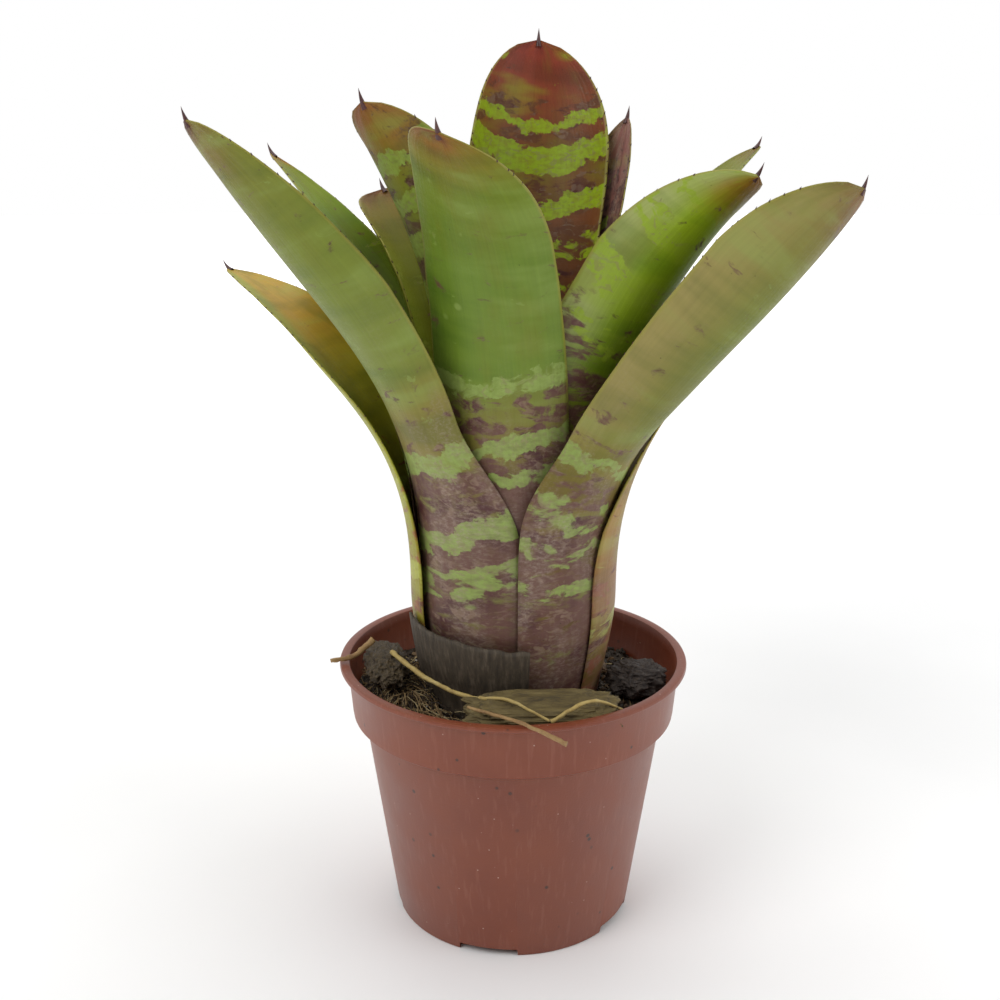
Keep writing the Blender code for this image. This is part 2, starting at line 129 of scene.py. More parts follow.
LEAVES = (
    Leaf("leaf_low_left", layer=0, azimuth=155, length=151, lean=48,
         rise=42, turn=58, wrap=54, half_width=19.5, cup=37,
         narrow_from=45, narrow_to=93, tip=63, side=-11,
         curl=27, twist=9, point=0.6, swell=0.2),
    Leaf("leaf_low_right", layer=0, azimuth=16, length=114, lean=37,
         rise=42, turn=54, wrap=58, half_width=17.5, cup=39,
         narrow_from=46, narrow_to=86, tip=53, side=7,
         curl=9, twist=-11, point=0.45, swell=0.12),
    Leaf("leaf_front_right", layer=1, azimuth=-28, length=161, lean=40,
         rise=49, turn=45, wrap=60, half_width=20.5, cup=50,
         narrow_from=60, narrow_to=80, tip=27, side=17,
         curl=-11, twist=1, point=0.15, swell=0.2),
    Leaf("leaf_back_left_low", layer=1, azimuth=131, length=150, lean=44,
         rise=47, turn=50, wrap=54, half_width=18.5, cup=40,
         narrow_from=40, narrow_to=80, tip=35, side=1,
         curl=1, twist=3, point=0.4, swell=0.16),
    Leaf("leaf_front_left", layer=2, azimuth=-158, length=170, lean=36,
         rise=39, turn=81, wrap=72, half_width=18.5, cup=48,
         narrow_from=55, narrow_to=85, tip=50, side=3,
         curl=0, twist=-15, point=0.25, swell=0.1),
    Leaf("leaf_back_right", layer=2, azimuth=30, length=168, lean=34,
         rise=46, turn=75, wrap=60, half_width=13.5, cup=36,
         narrow_from=49, narrow_to=82, tip=58, side=2,
         curl=26, twist=8, point=0.1, swell=0.04),
    Leaf("leaf_front", layer=3, azimuth=-101, length=164, lean=31,
         rise=62, turn=74, wrap=67, half_width=17.5, cup=40,
         narrow_from=60, narrow_to=83, tip=33, side=-5,
         curl=29, twist=26, point=0.1, swell=-0.02),
    Leaf("leaf_back_low", layer=3, azimuth=90, length=158, lean=45,
         rise=61, turn=54, wrap=60, half_width=17.5, cup=43,
         narrow_from=47, narrow_to=82, tip=42, side=6,
         curl=-1, twist=17, point=0.5, swell=0.14),
    Leaf("leaf_left", layer=4, azimuth=164, length=160, lean=31,
         rise=60, turn=39, wrap=75, half_width=19.5, cup=56,
         narrow_from=48, narrow_to=84, tip=66, side=-12,
         curl=22, twist=5, point=0.65, swell=0.14),
    Leaf("leaf_right", layer=4, azimuth=-39, length=152, lean=27,
         rise=51, turn=60, wrap=81, half_width=22.5, cup=66,
         narrow_from=40, narrow_to=117, tip=29, side=16,
         curl=24, twist=2, point=0.25, swell=-0.1),
    Leaf("leaf_back_left", layer=5, azimuth=134, length=142, lean=29,
         rise=59, turn=76, wrap=72, half_width=18, cup=52,
         narrow_from=46, narrow_to=90, tip=23, side=6,
         curl=22, twist=6, point=0.1, swell=0.2),
    Leaf("leaf_upper_left", layer=6, azimuth=-130, length=158, lean=31,
         rise=69, turn=82, wrap=71, half_width=16, cup=61,
         narrow_from=43, narrow_to=84, tip=36, side=-10,
         curl=2, twist=1, point=0.1, swell=0.04),
    Leaf("leaf_upper_right", layer=6, azimuth=34, length=152, lean=14,
         rise=54, turn=89, wrap=76, half_width=15, cup=47,
         narrow_from=51, narrow_to=101, tip=46, side=-2,
         curl=8, twist=-5, point=0.65, swell=0.16),
    Leaf("leaf_tall_back", layer=7, azimuth=78, length=168, lean=11,
         rise=76, turn=62, wrap=75, half_width=20, cup=63,
         narrow_from=50, narrow_to=92, tip=27, side=-1,
         curl=-4, twist=-24, point=0.3, swell=0.08),
    Leaf("leaf_young", layer=8, azimuth=-58, length=96, lean=2,
         rise=60, turn=40, wrap=80, half_width=13, cup=100,
         narrow_from=50, narrow_to=90, tip=34, side=0,
         curl=-1, twist=1, point=0.5, swell=0.16),
)

# Rises and hollows of the mix's surface, in mm
BUMPS = (
    Bump(x=-31, y=-7, height=7.0, spread=13),
    Bump(x=5, y=-31, height=4.3, spread=13),
    Bump(x=4, y=-23, height=3.5, spread=6),
    Bump(x=32, y=-8, height=3.0, spread=11),
    Bump(x=0, y=33, height=-2.0, spread=20),
)

# Loose pieces that lie on the mix: centre, half sizes and tilt towards the front
LUMPS = (
    Lump("bark_chunk", 7.0, -31.6, 67.2, (19.0, 6.2, 3.6), 18, 4, (0.20, 0.15, 0.06, 1)),
    Lump("soil_clump", 31.5, -9.0, 66.2, (7.5, 7.0, 4.2), 0, 10, (0.04, 0.03, 0.02, 1)),
    Lump("fibre_clump", -32.6, -7.0, 69.2, (5.4, 13.0, 3.4), 0, 10, (0.15, 0.09, 0.04, 1)),
)

# Roots and straws, as the points that they run through, in mm
STRANDS = (
    Strand("long_root", 0.7, (0.42, 0.31, 0.10, 1),
           ((-31.0, -9.0, 73.4), (-21.0, -20.5, 71.0), (-11.0, -28.0, 69.8),
            (-1.5, -33.5, 71.4), (8.0, -39.6, 69.0))),
    Strand("rim_straw", 0.7, (0.30, 0.18, 0.07, 1),
           ((-11.0, -36.5, 71.0), (1.0, -44.0, 70.7), (11.5, -50.5, 68.6))),
    Strand("rim_twig", 0.9, (0.16, 0.10, 0.06, 1),
           ((-46.5, -8.5, 70.8), (-41.0, -6.5, 71.2), (-36.0, -4.5, 75.0))),
    Strand("arched_root", 0.6, (0.36, 0.22, 0.08, 1),
           ((8.5, -38.8, 68.4), (18.0, -35.5, 72.2), (27.0, -30.5, 67.0))),
)

# Tones as linear red, green and blue
LIME = (0.31, 0.44, 0.02)
PALE_LIME = (0.25, 0.34, 0.075)
MAROON = (0.135, 0.038, 0.026)
DEEP_MAROON = (0.055, 0.008, 0.014)
PLUM = (0.125, 0.055, 0.042)
PALE_VEIN = (0.24, 0.155, 0.105)
OLIVE = (0.15, 0.15, 0.005)
BROWN = (0.155, 0.10, 0.045)
SCURF = (0.38, 0.30, 0.24)
MARGIN_LINE = (0.30, 0.27, 0.05)

Skin = namedtuple("Skin", "ground lime dark scurf lime_tone dark_tone tilt sag blush")
Blush = namedtuple("Blush", "tone side_from side_to along_from along_to")

# How a face of a leaf is coloured, by the share of its length from the base:
# ground tones, lime bands as (from, to, strength), and how dense the dark mottling and the scurf are
MOTTLED_FOOT = ((0.0, 0.75), (0.40, 0.70), (0.52, 0.34), (0.62, 0.08), (1.0, 0.04))
FOOT_SCURF = ((0.0, 0.4), (0.42, 0.35), (0.6, 0.06), (1.0, 0.0))
GREEN_GROUND = ((0.0, (0.117, 0.095, 0.020)), (0.42, (0.153, 0.162, 0.020)), (0.56, (0.153, 0.228, 0.018)),
                (0.8, (0.153, 0.237, 0.014)), (0.94, (0.180, 0.190, 0.012)), (1.0, (0.198, 0.114, 0.016)))
PLAIN = Skin(GREEN_GROUND, ((0.30, 0.34, 0.8), (0.44, 0.47, 0.8), (0.56, 0.60, 0.5), (0.70, 0.73, 0.4)),
             MOTTLED_FOOT, FOOT_SCURF, PALE_LIME, PLUM, 0.0, 0.02, None)

SKINS = {
    "leaf_front_left": Skin(
        ((0.0, (0.096, 0.047, 0.016)), (0.36, (0.152, 0.094, 0.028)), (0.43, (0.208, 0.172, 0.035)),
         (0.50, (0.216, 0.179, 0.028)), (0.58, (0.176, 0.218, 0.028)), (0.76, (0.160, 0.203, 0.017)),
         (0.90, (0.160, 0.172, 0.012)), (0.97, (0.176, 0.109, 0.014)), (1.0, (0.096, 0.031, 0.010))),
        ((0.245, 0.285, 0.62), (0.31, 0.345, 0.95), (0.418, 0.452, 1.0)),
        ((0.0, 0.9), (0.30, 0.80), (0.40, 0.72), (0.46, 0.25), (0.55, 0.22), (0.60, 0.06), (1.0, 0.08)),
        ((0.0, 0.35), (0.42, 0.45), (0.58, 0.12), (0.75, 0.03), (1.0, 0.02)),
        PALE_LIME, PLUM, 0.035, 0.0, Blush((0.27, 0.21, 0.03), -0.2, -0.9, 0.60, 0.90)),
    "leaf_front": Skin(
        ((0.0, (0.064, 0.017, 0.007)), (0.40, (0.080, 0.026, 0.010)), (0.46, (0.176, 0.129, 0.025)),
         (0.54, (0.176, 0.172, 0.025)), (0.60, (0.144, 0.224, 0.021)), (0.76, (0.128, 0.206, 0.017)),
         (0.88, (0.144, 0.198, 0.012)), (0.945, (0.200, 0.155, 0.010)), (0.98, (0.240, 0.103, 0.010)),
         (1.0, (0.160, 0.043, 0.014))),
        ((0.425, 0.445, 0.7), (0.468, 0.492, 1.0), (0.565, 0.60, 0.62)),
        ((0.0, 0.95), (0.40, 0.9), (0.47, 0.5), (0.55, 0.45), (0.60, 0.10), (1.0, 0.05)),
        ((0.0, 0.30), (0.45, 0.28), (0.60, 0.05), (1.0, 0.0)),
        PALE_LIME, PLUM, 0.012, 0.012, None),
    "leaf_front_right": Skin(
        ((0.0, (0.089, 0.040, 0.009)), (0.34, (0.133, 0.072, 0.012)), (0.42, (0.163, 0.108, 0.014)),
         (0.47, (0.200, 0.158, 0.012)), (0.55, (0.148, 0.166, 0.007)), (0.78, (0.148, 0.173, 0.006)),
         (0.92, (0.163, 0.137, 0.006)), (1.0, (0.178, 0.072, 0.010))),
        ((0.265, 0.29, 0.50), (0.325, 0.355, 0.45), (0.375, 0.415, 0.50), (0.455, 0.48, 0.75)),
        ((0.0, 0.85), (0.30, 0.78), (0.40, 0.60), (0.46, 0.30), (0.52, 0.12), (0.6, 0.04), (1.0, 0.06)),
        ((0.0, 0.40), (0.40, 0.40), (0.55, 0.12), (0.8, 0.04), (1.0, 0.04)),
        PALE_LIME, PLUM, -0.02, 0.0, Blush((0.29, 0.24, 0.07), -0.1, -0.95, 0.45, 0.95)),
    # Painted light: the green of this leaf's blade is its own tone painted brighter, to make up for the shade that
    # its downturned face gets.
    "leaf_right": Skin(
        ((0.0, (0.165, 0.096, 0.020)), (0.50, (0.165, 0.112, 0.022)), (0.60, (0.150, 0.224, 0.010)),
         (0.72, (0.225, 0.336, 0.010)), (0.90, (0.300, 0.432, 0.013)), (0.96, (0.330, 0.208, 0.020)),
         (1.0, (0.330, 0.128, 0.025))),
        ((0.66, 0.70, 0.45), (0.74, 0.79, 0.75), (0.83, 0.87, 0.7), (0.90, 0.92, 0.5)),
        ((0.0, 0.8), (0.55, 0.65), (0.64, 0.45), (0.72, 0.12), (1.0, 0.05)),
        ((0.0, 0.3), (0.6, 0.08), (1.0, 0.0)),
        (0.27, 0.38, 0.02), PLUM, 0.0, 0.03, Blush((0.34, 0.38, 0.12), -0.3, -0.95, 0.55, 0.98)),
    "leaf_upper_left": Skin(
        ((0.0, (0.060, 0.030, 0.012)), (0.50, (0.090, 0.050, 0.015)), (0.68, (0.130, 0.140, 0.018)),
         (0.88, (0.190, 0.200, 0.018)), (0.94, (0.260, 0.140, 0.018)), (1.0, (0.260, 0.080, 0.021))),
        ((0.55, 0.57, 0.5), (0.62, 0.65, 0.6), (0.69, 0.72, 0.75), (0.76, 0.80, 0.8), (0.84, 0.865, 0.8),
         (0.895, 0.92, 0.85)),
        ((0.0, 0.9), (0.60, 0.68), (0.74, 0.60), (0.84, 0.45), (0.92, 0.3), (1.0, 0.10)),
        ((0.0, 0.3), (0.6, 0.10), (1.0, 0.0)),
        (0.25, 0.34, 0.05), (0.10, 0.052, 0.03), 0.02, 0.01, None),
    "leaf_upper_right": Skin(
        ((0.0, (0.120, 0.045, 0.036)), (0.60, (0.160, 0.063, 0.050)), (1.0, (0.250, 0.090, 0.077))),
        ((0.50, 0.53, 0.5), (0.60, 0.64, 0.5), (0.70, 0.74, 0.45), (0.80, 0.83, 0.35)),
        ((0.0, 0.8), (0.8, 0.6), (1.0, 0.2)),
        ((0.0, 0.3), (1.0, 0.55)),
        LIME, DEEP_MAROON, 0.0, 0.0, None),
    "leaf_tall_back": Skin(
        ((0.0, (0.084, 0.015, 0.012)), (0.66, (0.179, 0.056, 0.018)), (0.80, (0.200, 0.064, 0.021)),
         (0.90, (0.231, 0.053, 0.018)), (0.98, (0.263, 0.038, 0.018)), (1.0, (0.158, 0.022, 0.015))),
        ((0.62, 0.645, 0.55), (0.66, 0.70, 0.50), (0.735, 0.762, 0.97), (0.802, 0.842, 1.0), (0.864, 0.884, 0.84)),
        ((0.0, 0.8), (0.72, 0.42), (0.90, 0.40), (0.93, 0.12), (1.0, 0.0)),
        ((0.0, 0.2), (0.8, 0.03), (1.0, 0.0)),
        (0.31, 0.44, 0.01), (0.125, 0.045, 0.018), 0.0, 0.03, None),
    "leaf_left": Skin(
        ((0.0, (0.100, 0.039, 0.006)), (0.50, (0.150, 0.130, 0.006)), (0.62, (0.138, 0.195, 0.003)),
         (0.86, (0.150, 0.247, 0.002)), (0.96, (0.188, 0.221, 0.006)), (1.0, (0.375, 0.130, 0.024))),
        ((0.52, 0.55, 0.5), (0.64, 0.68, 0.4), (0.78, 0.82, 0.35)),
        ((0.0, 0.8), (0.56, 0.55), (0.66, 0.12), (1.0, 0.05)),
        ((0.0, 0.2), (0.7, 0.0), (1.0, 0.0)),
        (0.22, 0.29, 0.01), MAROON, 0.0, 0.0, None),
    "leaf_back_left": Skin(
        ((0.0, (0.100, 0.055, 0.012)), (0.6, (0.170, 0.209, 0.012)), (0.86, (0.160, 0.176, 0.008)),
         (0.95, (0.200, 0.143, 0.012)), (1.0, (0.180, 0.055, 0.012))),
        ((0.66, 0.70, 0.4), (0.80, 0.84, 0.35)),
        ((0.0, 0.7), (0.56, 0.4), (0.66, 0.10), (1.0, 0.08)),
        ((0.0, 0.2), (0.7, 0.0), (1.0, 0.0)),
        (0.22, 0.26, 0.03), MAROON, 0.0, 0.0, None),
    # Painted light: the orange-red ground and the yellow blush are this leaf's own tones, painted brighter as the
    # glow of light shining through the leaf from behind.
    "leaf_low_left": Skin(
        ((0.0, (0.150, 0.095, 0.018)), (0.50, (0.350, 0.324, 0.018)), (0.66, (0.450, 0.392, 0.018)),
         (0.80, (0.475, 0.270, 0.021)), (0.93, (0.500, 0.311, 0.024)), (1.0, (0.450, 0.297, 0.030))),
        ((0.30, 0.34, 0.8), (0.44, 0.47, 0.6)),
        ((0.0, 0.6), (0.45, 0.3), (0.55, 0.02), (1.0, 0.0)),
        ((0.0, 0.2), (0.6, 0.0), (1.0, 0.10)),
        (0.40, 0.42, 0.06), (0.30, 0.10, 0.03), 0.0, 0.0, Blush((0.36, 0.36, 0.035), 0.15, 0.75, 0.4, 0.96)),
    "leaf_low_right": Skin(
        ((0.0, (0.120, 0.070, 0.024)), (0.45, (0.280, 0.140, 0.042)), (0.66, (0.360, 0.220, 0.030)),
         (1.0, (0.340, 0.200, 0.030))),
        ((0.30, 0.34, 0.6),),
        ((0.0, 0.6), (0.42, 0.4), (0.5, 0.1), (1.0, 0.05)),
        ((0.0, 0.4), (0.6, 0.2), (1.0, 0.10)),
        (0.36, 0.38, 0.09), (0.26, 0.09, 0.05), 0.0, 0.0, None),
}

# Faces whose other side is the one described above
INNER_FACE_LEAVES = ("leaf_tall_back", "leaf_left", "leaf_back_left", "leaf_low_left")
PURPLE_LEAVES = ("leaf_upper_right", "leaf_tall_back", "leaf_upper_left")

# Node helpers

def add_node(tree, kind, inputs=(), **settings):
    """Add a node; each input is a value or the socket that feeds it."""
    made = tree.nodes.new(kind)
    for key, value in settings.items():
        setattr(made, key, value)
    for key, value in dict(inputs).items():
        if isinstance(value, bpy.types.NodeSocket):
            tree.links.new(value, made.inputs[key])
        else:
            made.inputs[key].default_value = value
    return made


def calc(tree, operation, first, second=0.0, third=0.0):
    made = add_node(tree, "ShaderNodeMath", {0: first, 1: second, 2: third}, operation=operation)
    return made.outputs[0]


def span(tree, value, low, high, to_low=0.0, to_high=1.0, smooth=True):
    """Map a value from one span to another, without leaving it."""
    kind = "SMOOTHSTEP" if smooth else "LINEAR"
    inputs = {"Value": value, "From Min": low, "From Max": high, "To Min": to_low, "To Max": to_high}
    return add_node(tree, "ShaderNodeMapRange", inputs, interpolation_type=kind).outputs[0]


def blend_tones(tree, factor, first, second, how="MIX"):
    """Mix two tones; 6 and 7 are the node's colour sockets."""
    made = add_node(tree, "ShaderNodeMix", data_type="RGBA", blend_type=how)
    for key, value in ((0, factor), (6, first), (7, second)):
        if isinstance(value, bpy.types.NodeSocket):
            tree.links.new(value, made.inputs[key])
        elif key:
            made.inputs[key].default_value = (*value[:3], 1)
        else:
            made.inputs[key].default_value = value
    return made.outputs[2]


def stretched(tree, vector, x, y, z=1.0):
    made = add_node(tree, "ShaderNodeVectorMath", {0: vector, 1: (x, y, z)}, operation="MULTIPLY")
    return made.outputs[0]


def cloud(tree, vector, scale=1.0, detail=3.0, rough=0.55, distortion=0.0):
    """A noise whose values run from about 0 to 1."""
    inputs = {"Vector": vector, "Scale": scale, "Detail": detail, "Roughness": rough, "Distortion": distortion}
    raw = add_node(tree, "ShaderNodeTexNoise", inputs).outputs[0]
    return span(tree, raw, 0.3, 0.7, smooth=False)


def spots(tree, vector, scale, size):
    """Round spots of a share of the cell's size."""
    cells = add_node(tree, "ShaderNodeTexVoronoi", {"Vector": vector, "Scale": scale})
    return span(tree, cells.outputs["Distance"], size, size * 0.5)


def ramp(tree, value, stops):
    """Tones or amounts along a value, from (place, tone or amount) stops."""
    made = add_node(tree, "ShaderNodeValToRGB", {0: value})
    elements = made.color_ramp.elements
    while len(elements) < len(stops):
        elements.new(0.5)
    for element, (place, tone) in zip(elements, stops):
        element.position = place
        element.color = (*tone, 1) if isinstance(tone, tuple) else (tone, tone, tone, 1)
    return made.outputs[0]


def band_stops(bands, soft=0.006):
    """Stops of a ramp that is 0 outside the bands and has each band's strength inside it."""
    stops = [(0.0, 0.0)]
    for start, end, strength in bands:
        stops += [(start - soft, 0.0), (start + soft, strength), (end - soft, strength), (end + soft, 0.0)]
    return stops


def new_group(name, inputs, outputs):
    """A node group with named sockets; returns it with its input and output nodes."""
    group = bpy.data.node_groups.new(name, "ShaderNodeTree")
    for label, kind in inputs:
        group.interface.new_socket(label, in_out="INPUT", socket_type="NodeSocket" + kind)
    for label, kind in outputs:
        group.interface.new_socket(label, in_out="OUTPUT", socket_type="NodeSocket" + kind)
    return group, group.nodes.new("NodeGroupInput").outputs, group.nodes.new("NodeGroupOutput").inputs


def new_material(name):
    """A material with its node tree and its shader."""
    material = bpy.data.materials.new(name)
    material.use_nodes = True
    tree = material.node_tree
    return material, tree, tree.nodes["Principled BSDF"]


def finish_shader(tree, shader, tone, rough, height, depth, strength=0.5):
    """Feed the shader; depth is the bumps' height in mm."""
    bump = add_node(tree, "ShaderNodeBump", {"Height": height, "Distance": depth * MM, "Strength": strength})
    tree.links.new(tone, shader.inputs["Base Color"])
    tree.links.new(rough, shader.inputs["Roughness"])
    tree.links.new(bump.outputs[0], shader.inputs["Normal"])


def object_place(tree):
    """Object coordinates in mm."""
    made = add_node(tree, "ShaderNodeTexCoord")
    return stretched(tree, made.outputs["Object"], 1 / MM, 1 / MM, 1 / MM)


# Leaf materials

def leaf_places_group():
    """Where a point lies on its leaf: across, along, along with wavy bands, and a place in mm."""
    group, given, out = new_group(
        "leaf_places", (("Seed", "Float"), ("Tilt", "Float"), ("Sag", "Float")),
        (("Across", "Float"), ("Wavy", "Float"), ("Along", "Float"), ("Place", "Vector")))
    layer = add_node(group, "ShaderNodeUVMap", uv_map="leaf_map")
    parts = add_node(group, "ShaderNodeSeparateXYZ", {0: layer.outputs[0]}).outputs
    across = calc(group, "MULTIPLY_ADD", parts[0], 2.0, -1.0)
    place = add_node(group, "ShaderNodeCombineXYZ", {
        0: calc(group, "MULTIPLY", across, 18.0),
        1: calc(group, "MULTIPLY", parts[1], 160.0),
        2: given["Seed"]}).outputs[0]
    broad = cloud(group, stretched(group, place, 0.07, 0.035), 1.0, 2.0)
    ragged = cloud(group, stretched(group, place, 0.30, 0.22), 1.0, 4.0, 0.6)
    wavy = calc(group, "MULTIPLY_ADD", broad, 0.026, -0.013)
    wavy = calc(group, "ADD", wavy, calc(group, "MULTIPLY_ADD", ragged, 0.014, -0.007))
    slant = calc(group, "MULTIPLY", across, given["Tilt"])
    bow = calc(group, "MULTIPLY", calc(group, "MULTIPLY", across, across), given["Sag"])
    moved = calc(group, "SUBTRACT", calc(group, "ADD", parts[1], wavy), calc(group, "ADD", slant, bow))
    group.links.new(across, out["Across"])
    group.links.new(moved, out["Wavy"])
    group.links.new(parts[1], out["Along"])
    group.links.new(place, out["Place"])
    return group


def leaf_skin_group():
    """A leaf's skin: ground tone, lime bands, dark mottling, scurf and a pale margin line."""
    group, given, out = new_group(
        "leaf_skin",
        (("Ground", "Color"), ("Lime Tone", "Color"), ("Dark Tone", "Color"), ("Lime", "Float"),
         ("Dark", "Float"), ("Scurf", "Float"), ("Across", "Float"), ("Place", "Vector")),
        (("Tone", "Color"), ("Rough", "Float"), ("Height", "Float")))
    place = given["Place"]
    cross = cloud(group, stretched(group, place, 0.03, 0.12), 1.0, 3.0, 0.5)
    tone = blend_tones(group, span(group, cross, 0.5, 1.0, 0.0, 0.40), given["Ground"], given["Lime Tone"])
    shade = ramp(group, cross, ((0.0, (0.66, 0.74, 0.6)), (0.5, (1.0, 1.0, 1.0))))
    tone = blend_tones(group, 1.0, tone, shade, "MULTIPLY")
    drift = cloud(group, stretched(group, place, 0.07, 0.035, 3.0), 1.0, 4.0)
    tone = blend_tones(group, span(group, drift, 0.45, 1.0, 0.0, 0.45), tone, OLIVE)

    fleck = cloud(group, stretched(group, place, 0.55, 0.8), 1.0, 3.0, 0.6)
    pool = cloud(group, stretched(group, place, 0.09, 0.09, 4.0), 1.0, 3.0)
    dark_tone = blend_tones(group, span(group, pool, 0.40, 0.85, 0.0, 0.85), given["Dark Tone"], DEEP_MAROON)
    vein = cloud(group, stretched(group, place, 0.42, 0.55, 2.0), 1.0, 3.0, 0.5, 1.2)
    vein = calc(group, "MULTIPLY", span(group, vein, 0.50, 0.85), span(group, drift, 0.2, 0.8, 0.15, 0.75))
    dark_tone = blend_tones(group, vein, dark_tone, PALE_VEIN)
    mottle = cloud(group, stretched(group, place, 0.15, 0.30), 1.0, 5.0, 0.6, 0.5)
    dark = span(group, calc(group, "SUBTRACT", given["Dark"], mottle), -0.16, 0.14)
    dark = calc(group, "MULTIPLY", dark, span(group, fleck, 0.0, 0.7, 0.70, 1.0))
    tone = blend_tones(group, dark, tone, dark_tone)

    broken = cloud(group, stretched(group, place, 0.14, 0.24, 2.0), 1.0, 5.0, 0.6, 0.8)
    lime = span(group, calc(group, "SUBTRACT", given["Lime"], broken), -0.12, 0.12)
    lime = calc(group, "MULTIPLY", lime, span(group, fleck, 0.1, 1.0, 1.0, 0.60))
    lime_tone = blend_tones(group, span(group, vein, 0.1, 0.6, 0.0, 0.4), given["Lime Tone"], PALE_VEIN)
    tone = blend_tones(group, lime, tone, lime_tone)
    dots = spots(group, stretched(group, place, 1.0, 1.2), 0.11, 0.17)
    dots = calc(group, "MULTIPLY", dots, span(group, pool, 0.5, 0.7, 0.0, 0.6))
    tone = blend_tones(group, dots, tone, given["Lime Tone"])

    grain = cloud(group, stretched(group, place, 1.1, 1.5), 1.0, 3.0, 0.7)
    haze = cloud(group, stretched(group, place, 0.16, 0.06, 5.0), 1.0, 3.0)
    scurf = calc(group, "MULTIPLY", span(group, grain, 0.30, 1.0, 0.25, 1.0), given["Scurf"])
    scurf = calc(group, "MULTIPLY", scurf, span(group, haze, 0.2, 0.9, 0.15, 1.3))
    tone = blend_tones(group, scurf, tone, SCURF)

    rib = cloud(group, stretched(group, place, 1.3, 0.03), 1.0, 3.0)
    tone = blend_tones(group, 1.0, tone, ramp(group, rib, ((0.0, 0.93), (1.0, 1.04))), "MULTIPLY")
    pinholes = spots(group, place, 0.22, 0.05)
    tone = blend_tones(group, calc(group, "MULTIPLY", pinholes, 0.5), tone, (0.03, 0.02, 0.01))
    grown = span(group, add_node(group, "ShaderNodeSeparateXYZ", {0: place}).outputs[1], 72.0, 100.0)
    edge = span(group, calc(group, "ABSOLUTE", given["Across"]), 0.955, 0.995, 0.0, 0.7)
    tone = blend_tones(group, calc(group, "MULTIPLY", edge, grown), tone, MARGIN_LINE)

    height = calc(group, "ADD", calc(group, "MULTIPLY", rib, 0.7), calc(group, "MULTIPLY", grain, 0.3))
    group.links.new(tone, out["Tone"])
    group.links.new(span(group, grain, 0.0, 1.0, 0.40, 0.56), out["Rough"])
    group.links.new(height, out["Height"])
    return group


def leaf_material(name, skin, seed):
    """The material of one face of a leaf."""
    material, tree, shader = new_material(name)
    places = add_node(tree, "ShaderNodeGroup", node_tree=LEAF_PLACES)
    for label, value in (("Seed", seed), ("Tilt", skin.tilt), ("Sag", skin.sag)):
        places.inputs[label].default_value = value
    spot = places.outputs
    ground = ramp(tree, spot["Wavy"], skin.ground)
    if skin.blush:
        side = span(tree, spot["Across"], skin.blush.side_from, skin.blush.side_to)
        start = span(tree, spot["Along"], skin.blush.along_from, skin.blush.along_from + 0.12)
        end = span(tree, spot["Along"], skin.blush.along_to, skin.blush.along_to + 0.05, 1.0, 0.0)
        amount = calc(tree, "MULTIPLY", calc(tree, "MULTIPLY", side, start), end)
        ground = blend_tones(tree, amount, ground, skin.blush.tone)
    made = add_node(tree, "ShaderNodeGroup", node_tree=LEAF_SKIN)
    feeds = (("Ground", ground), ("Lime", ramp(tree, spot["Wavy"], band_stops(skin.lime))),
             ("Dark", ramp(tree, spot["Wavy"], skin.dark)), ("Scurf", ramp(tree, spot["Along"], skin.scurf)),
             ("Across", spot["Across"]), ("Place", spot["Place"]))
    for label, socket in feeds:
        tree.links.new(socket, made.inputs[label])
    made.inputs["Lime Tone"].default_value = (*skin.lime_tone, 1)
    made.inputs["Dark Tone"].default_value = (*skin.dark_tone, 1)
    finish_shader(tree, shader, made.outputs["Tone"], made.outputs["Rough"], made.outputs["Height"], 0.10)
    shader.inputs["Specular IOR Level"].default_value = LEAF_SHINE
    return material


def plain_material(name, tones, scale, rough=(0.6, 0.85), depth=0.3, stretch=(1.0, 1.0, 1.0), detail=5.0):
    """A material whose tone wanders between a few tones; scale is in cells per mm."""
    material, tree, shader = new_material(name)
    place = stretched(tree, object_place(tree), *stretch)
    value = cloud(tree, place, scale, detail, 0.6)
    fine = cloud(tree, place, scale * 5, 3.0, 0.6)
    mixed = calc(tree, "MULTIPLY_ADD", fine, 0.3, calc(tree, "MULTIPLY", value, 0.7))
    stops = [(k / (len(tones) - 1), tone) for k, tone in enumerate(tones)]
    tone = ramp(tree, mixed, stops)
    finish_shader(tree, shader, tone, span(tree, fine, 0.0, 1.0, *rough), mixed, depth)
    return material

# Leaf surface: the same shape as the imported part's, drawn finer

def ease(t):
    """Smooth step from 0 to 1."""
    t = min(max(t, 0.0), 1.0)
    return t * t * (3 - 2 * t)


def waist(height):
    """How far the whole rosette is drawn in towards its axis at a height in mm."""
    grow = ease((height - WAIST_FROM) / (WAIST_TO - WAIST_FROM))
    return WAIST_FACTOR + (1 - WAIST_FACTOR) * grow


def sheath_radius(layer):
    return OUTER_SHEATH_RADIUS - LAYER_PITCH * layer


def sheath_base(layer):
    return LOWEST_BASE + BASE_STEP * layer


def leaf_bend(leaf, s):
    """Lean outwards and sideways, in radians, at the distance s along the leaf."""
    curl_from = CURL_FROM * leaf.length
    curling = min(max((s - curl_from) / (leaf.length - curl_from), 0.0), 1.0)
    lean = math.radians(leaf.lean) * ease((s - leaf.rise) / leaf.turn)
    lean += math.radians(leaf.curl) * curling ** 1.5
    swing = min(max((s - leaf.rise) / (leaf.length - leaf.rise), 0.0), 1.0)
    return lean, math.radians(leaf.side) * swing


def leaf_directions(leaf, s):
    lean, side = leaf_bend(leaf, s)
    inward = Vector((-math.cos(lean), math.sin(lean) * math.sin(side), math.sin(lean) * math.cos(side)))
    left = Vector((0, math.cos(side), -math.sin(side)))
    twist = math.radians(leaf.twist) * ease((s - leaf.rise) / (leaf.length - leaf.rise))
    turned_in = math.cos(twist) * inward + math.sin(twist) * left
    turned_left = math.cos(twist) * left - math.sin(twist) * inward
    return turned_in, turned_left


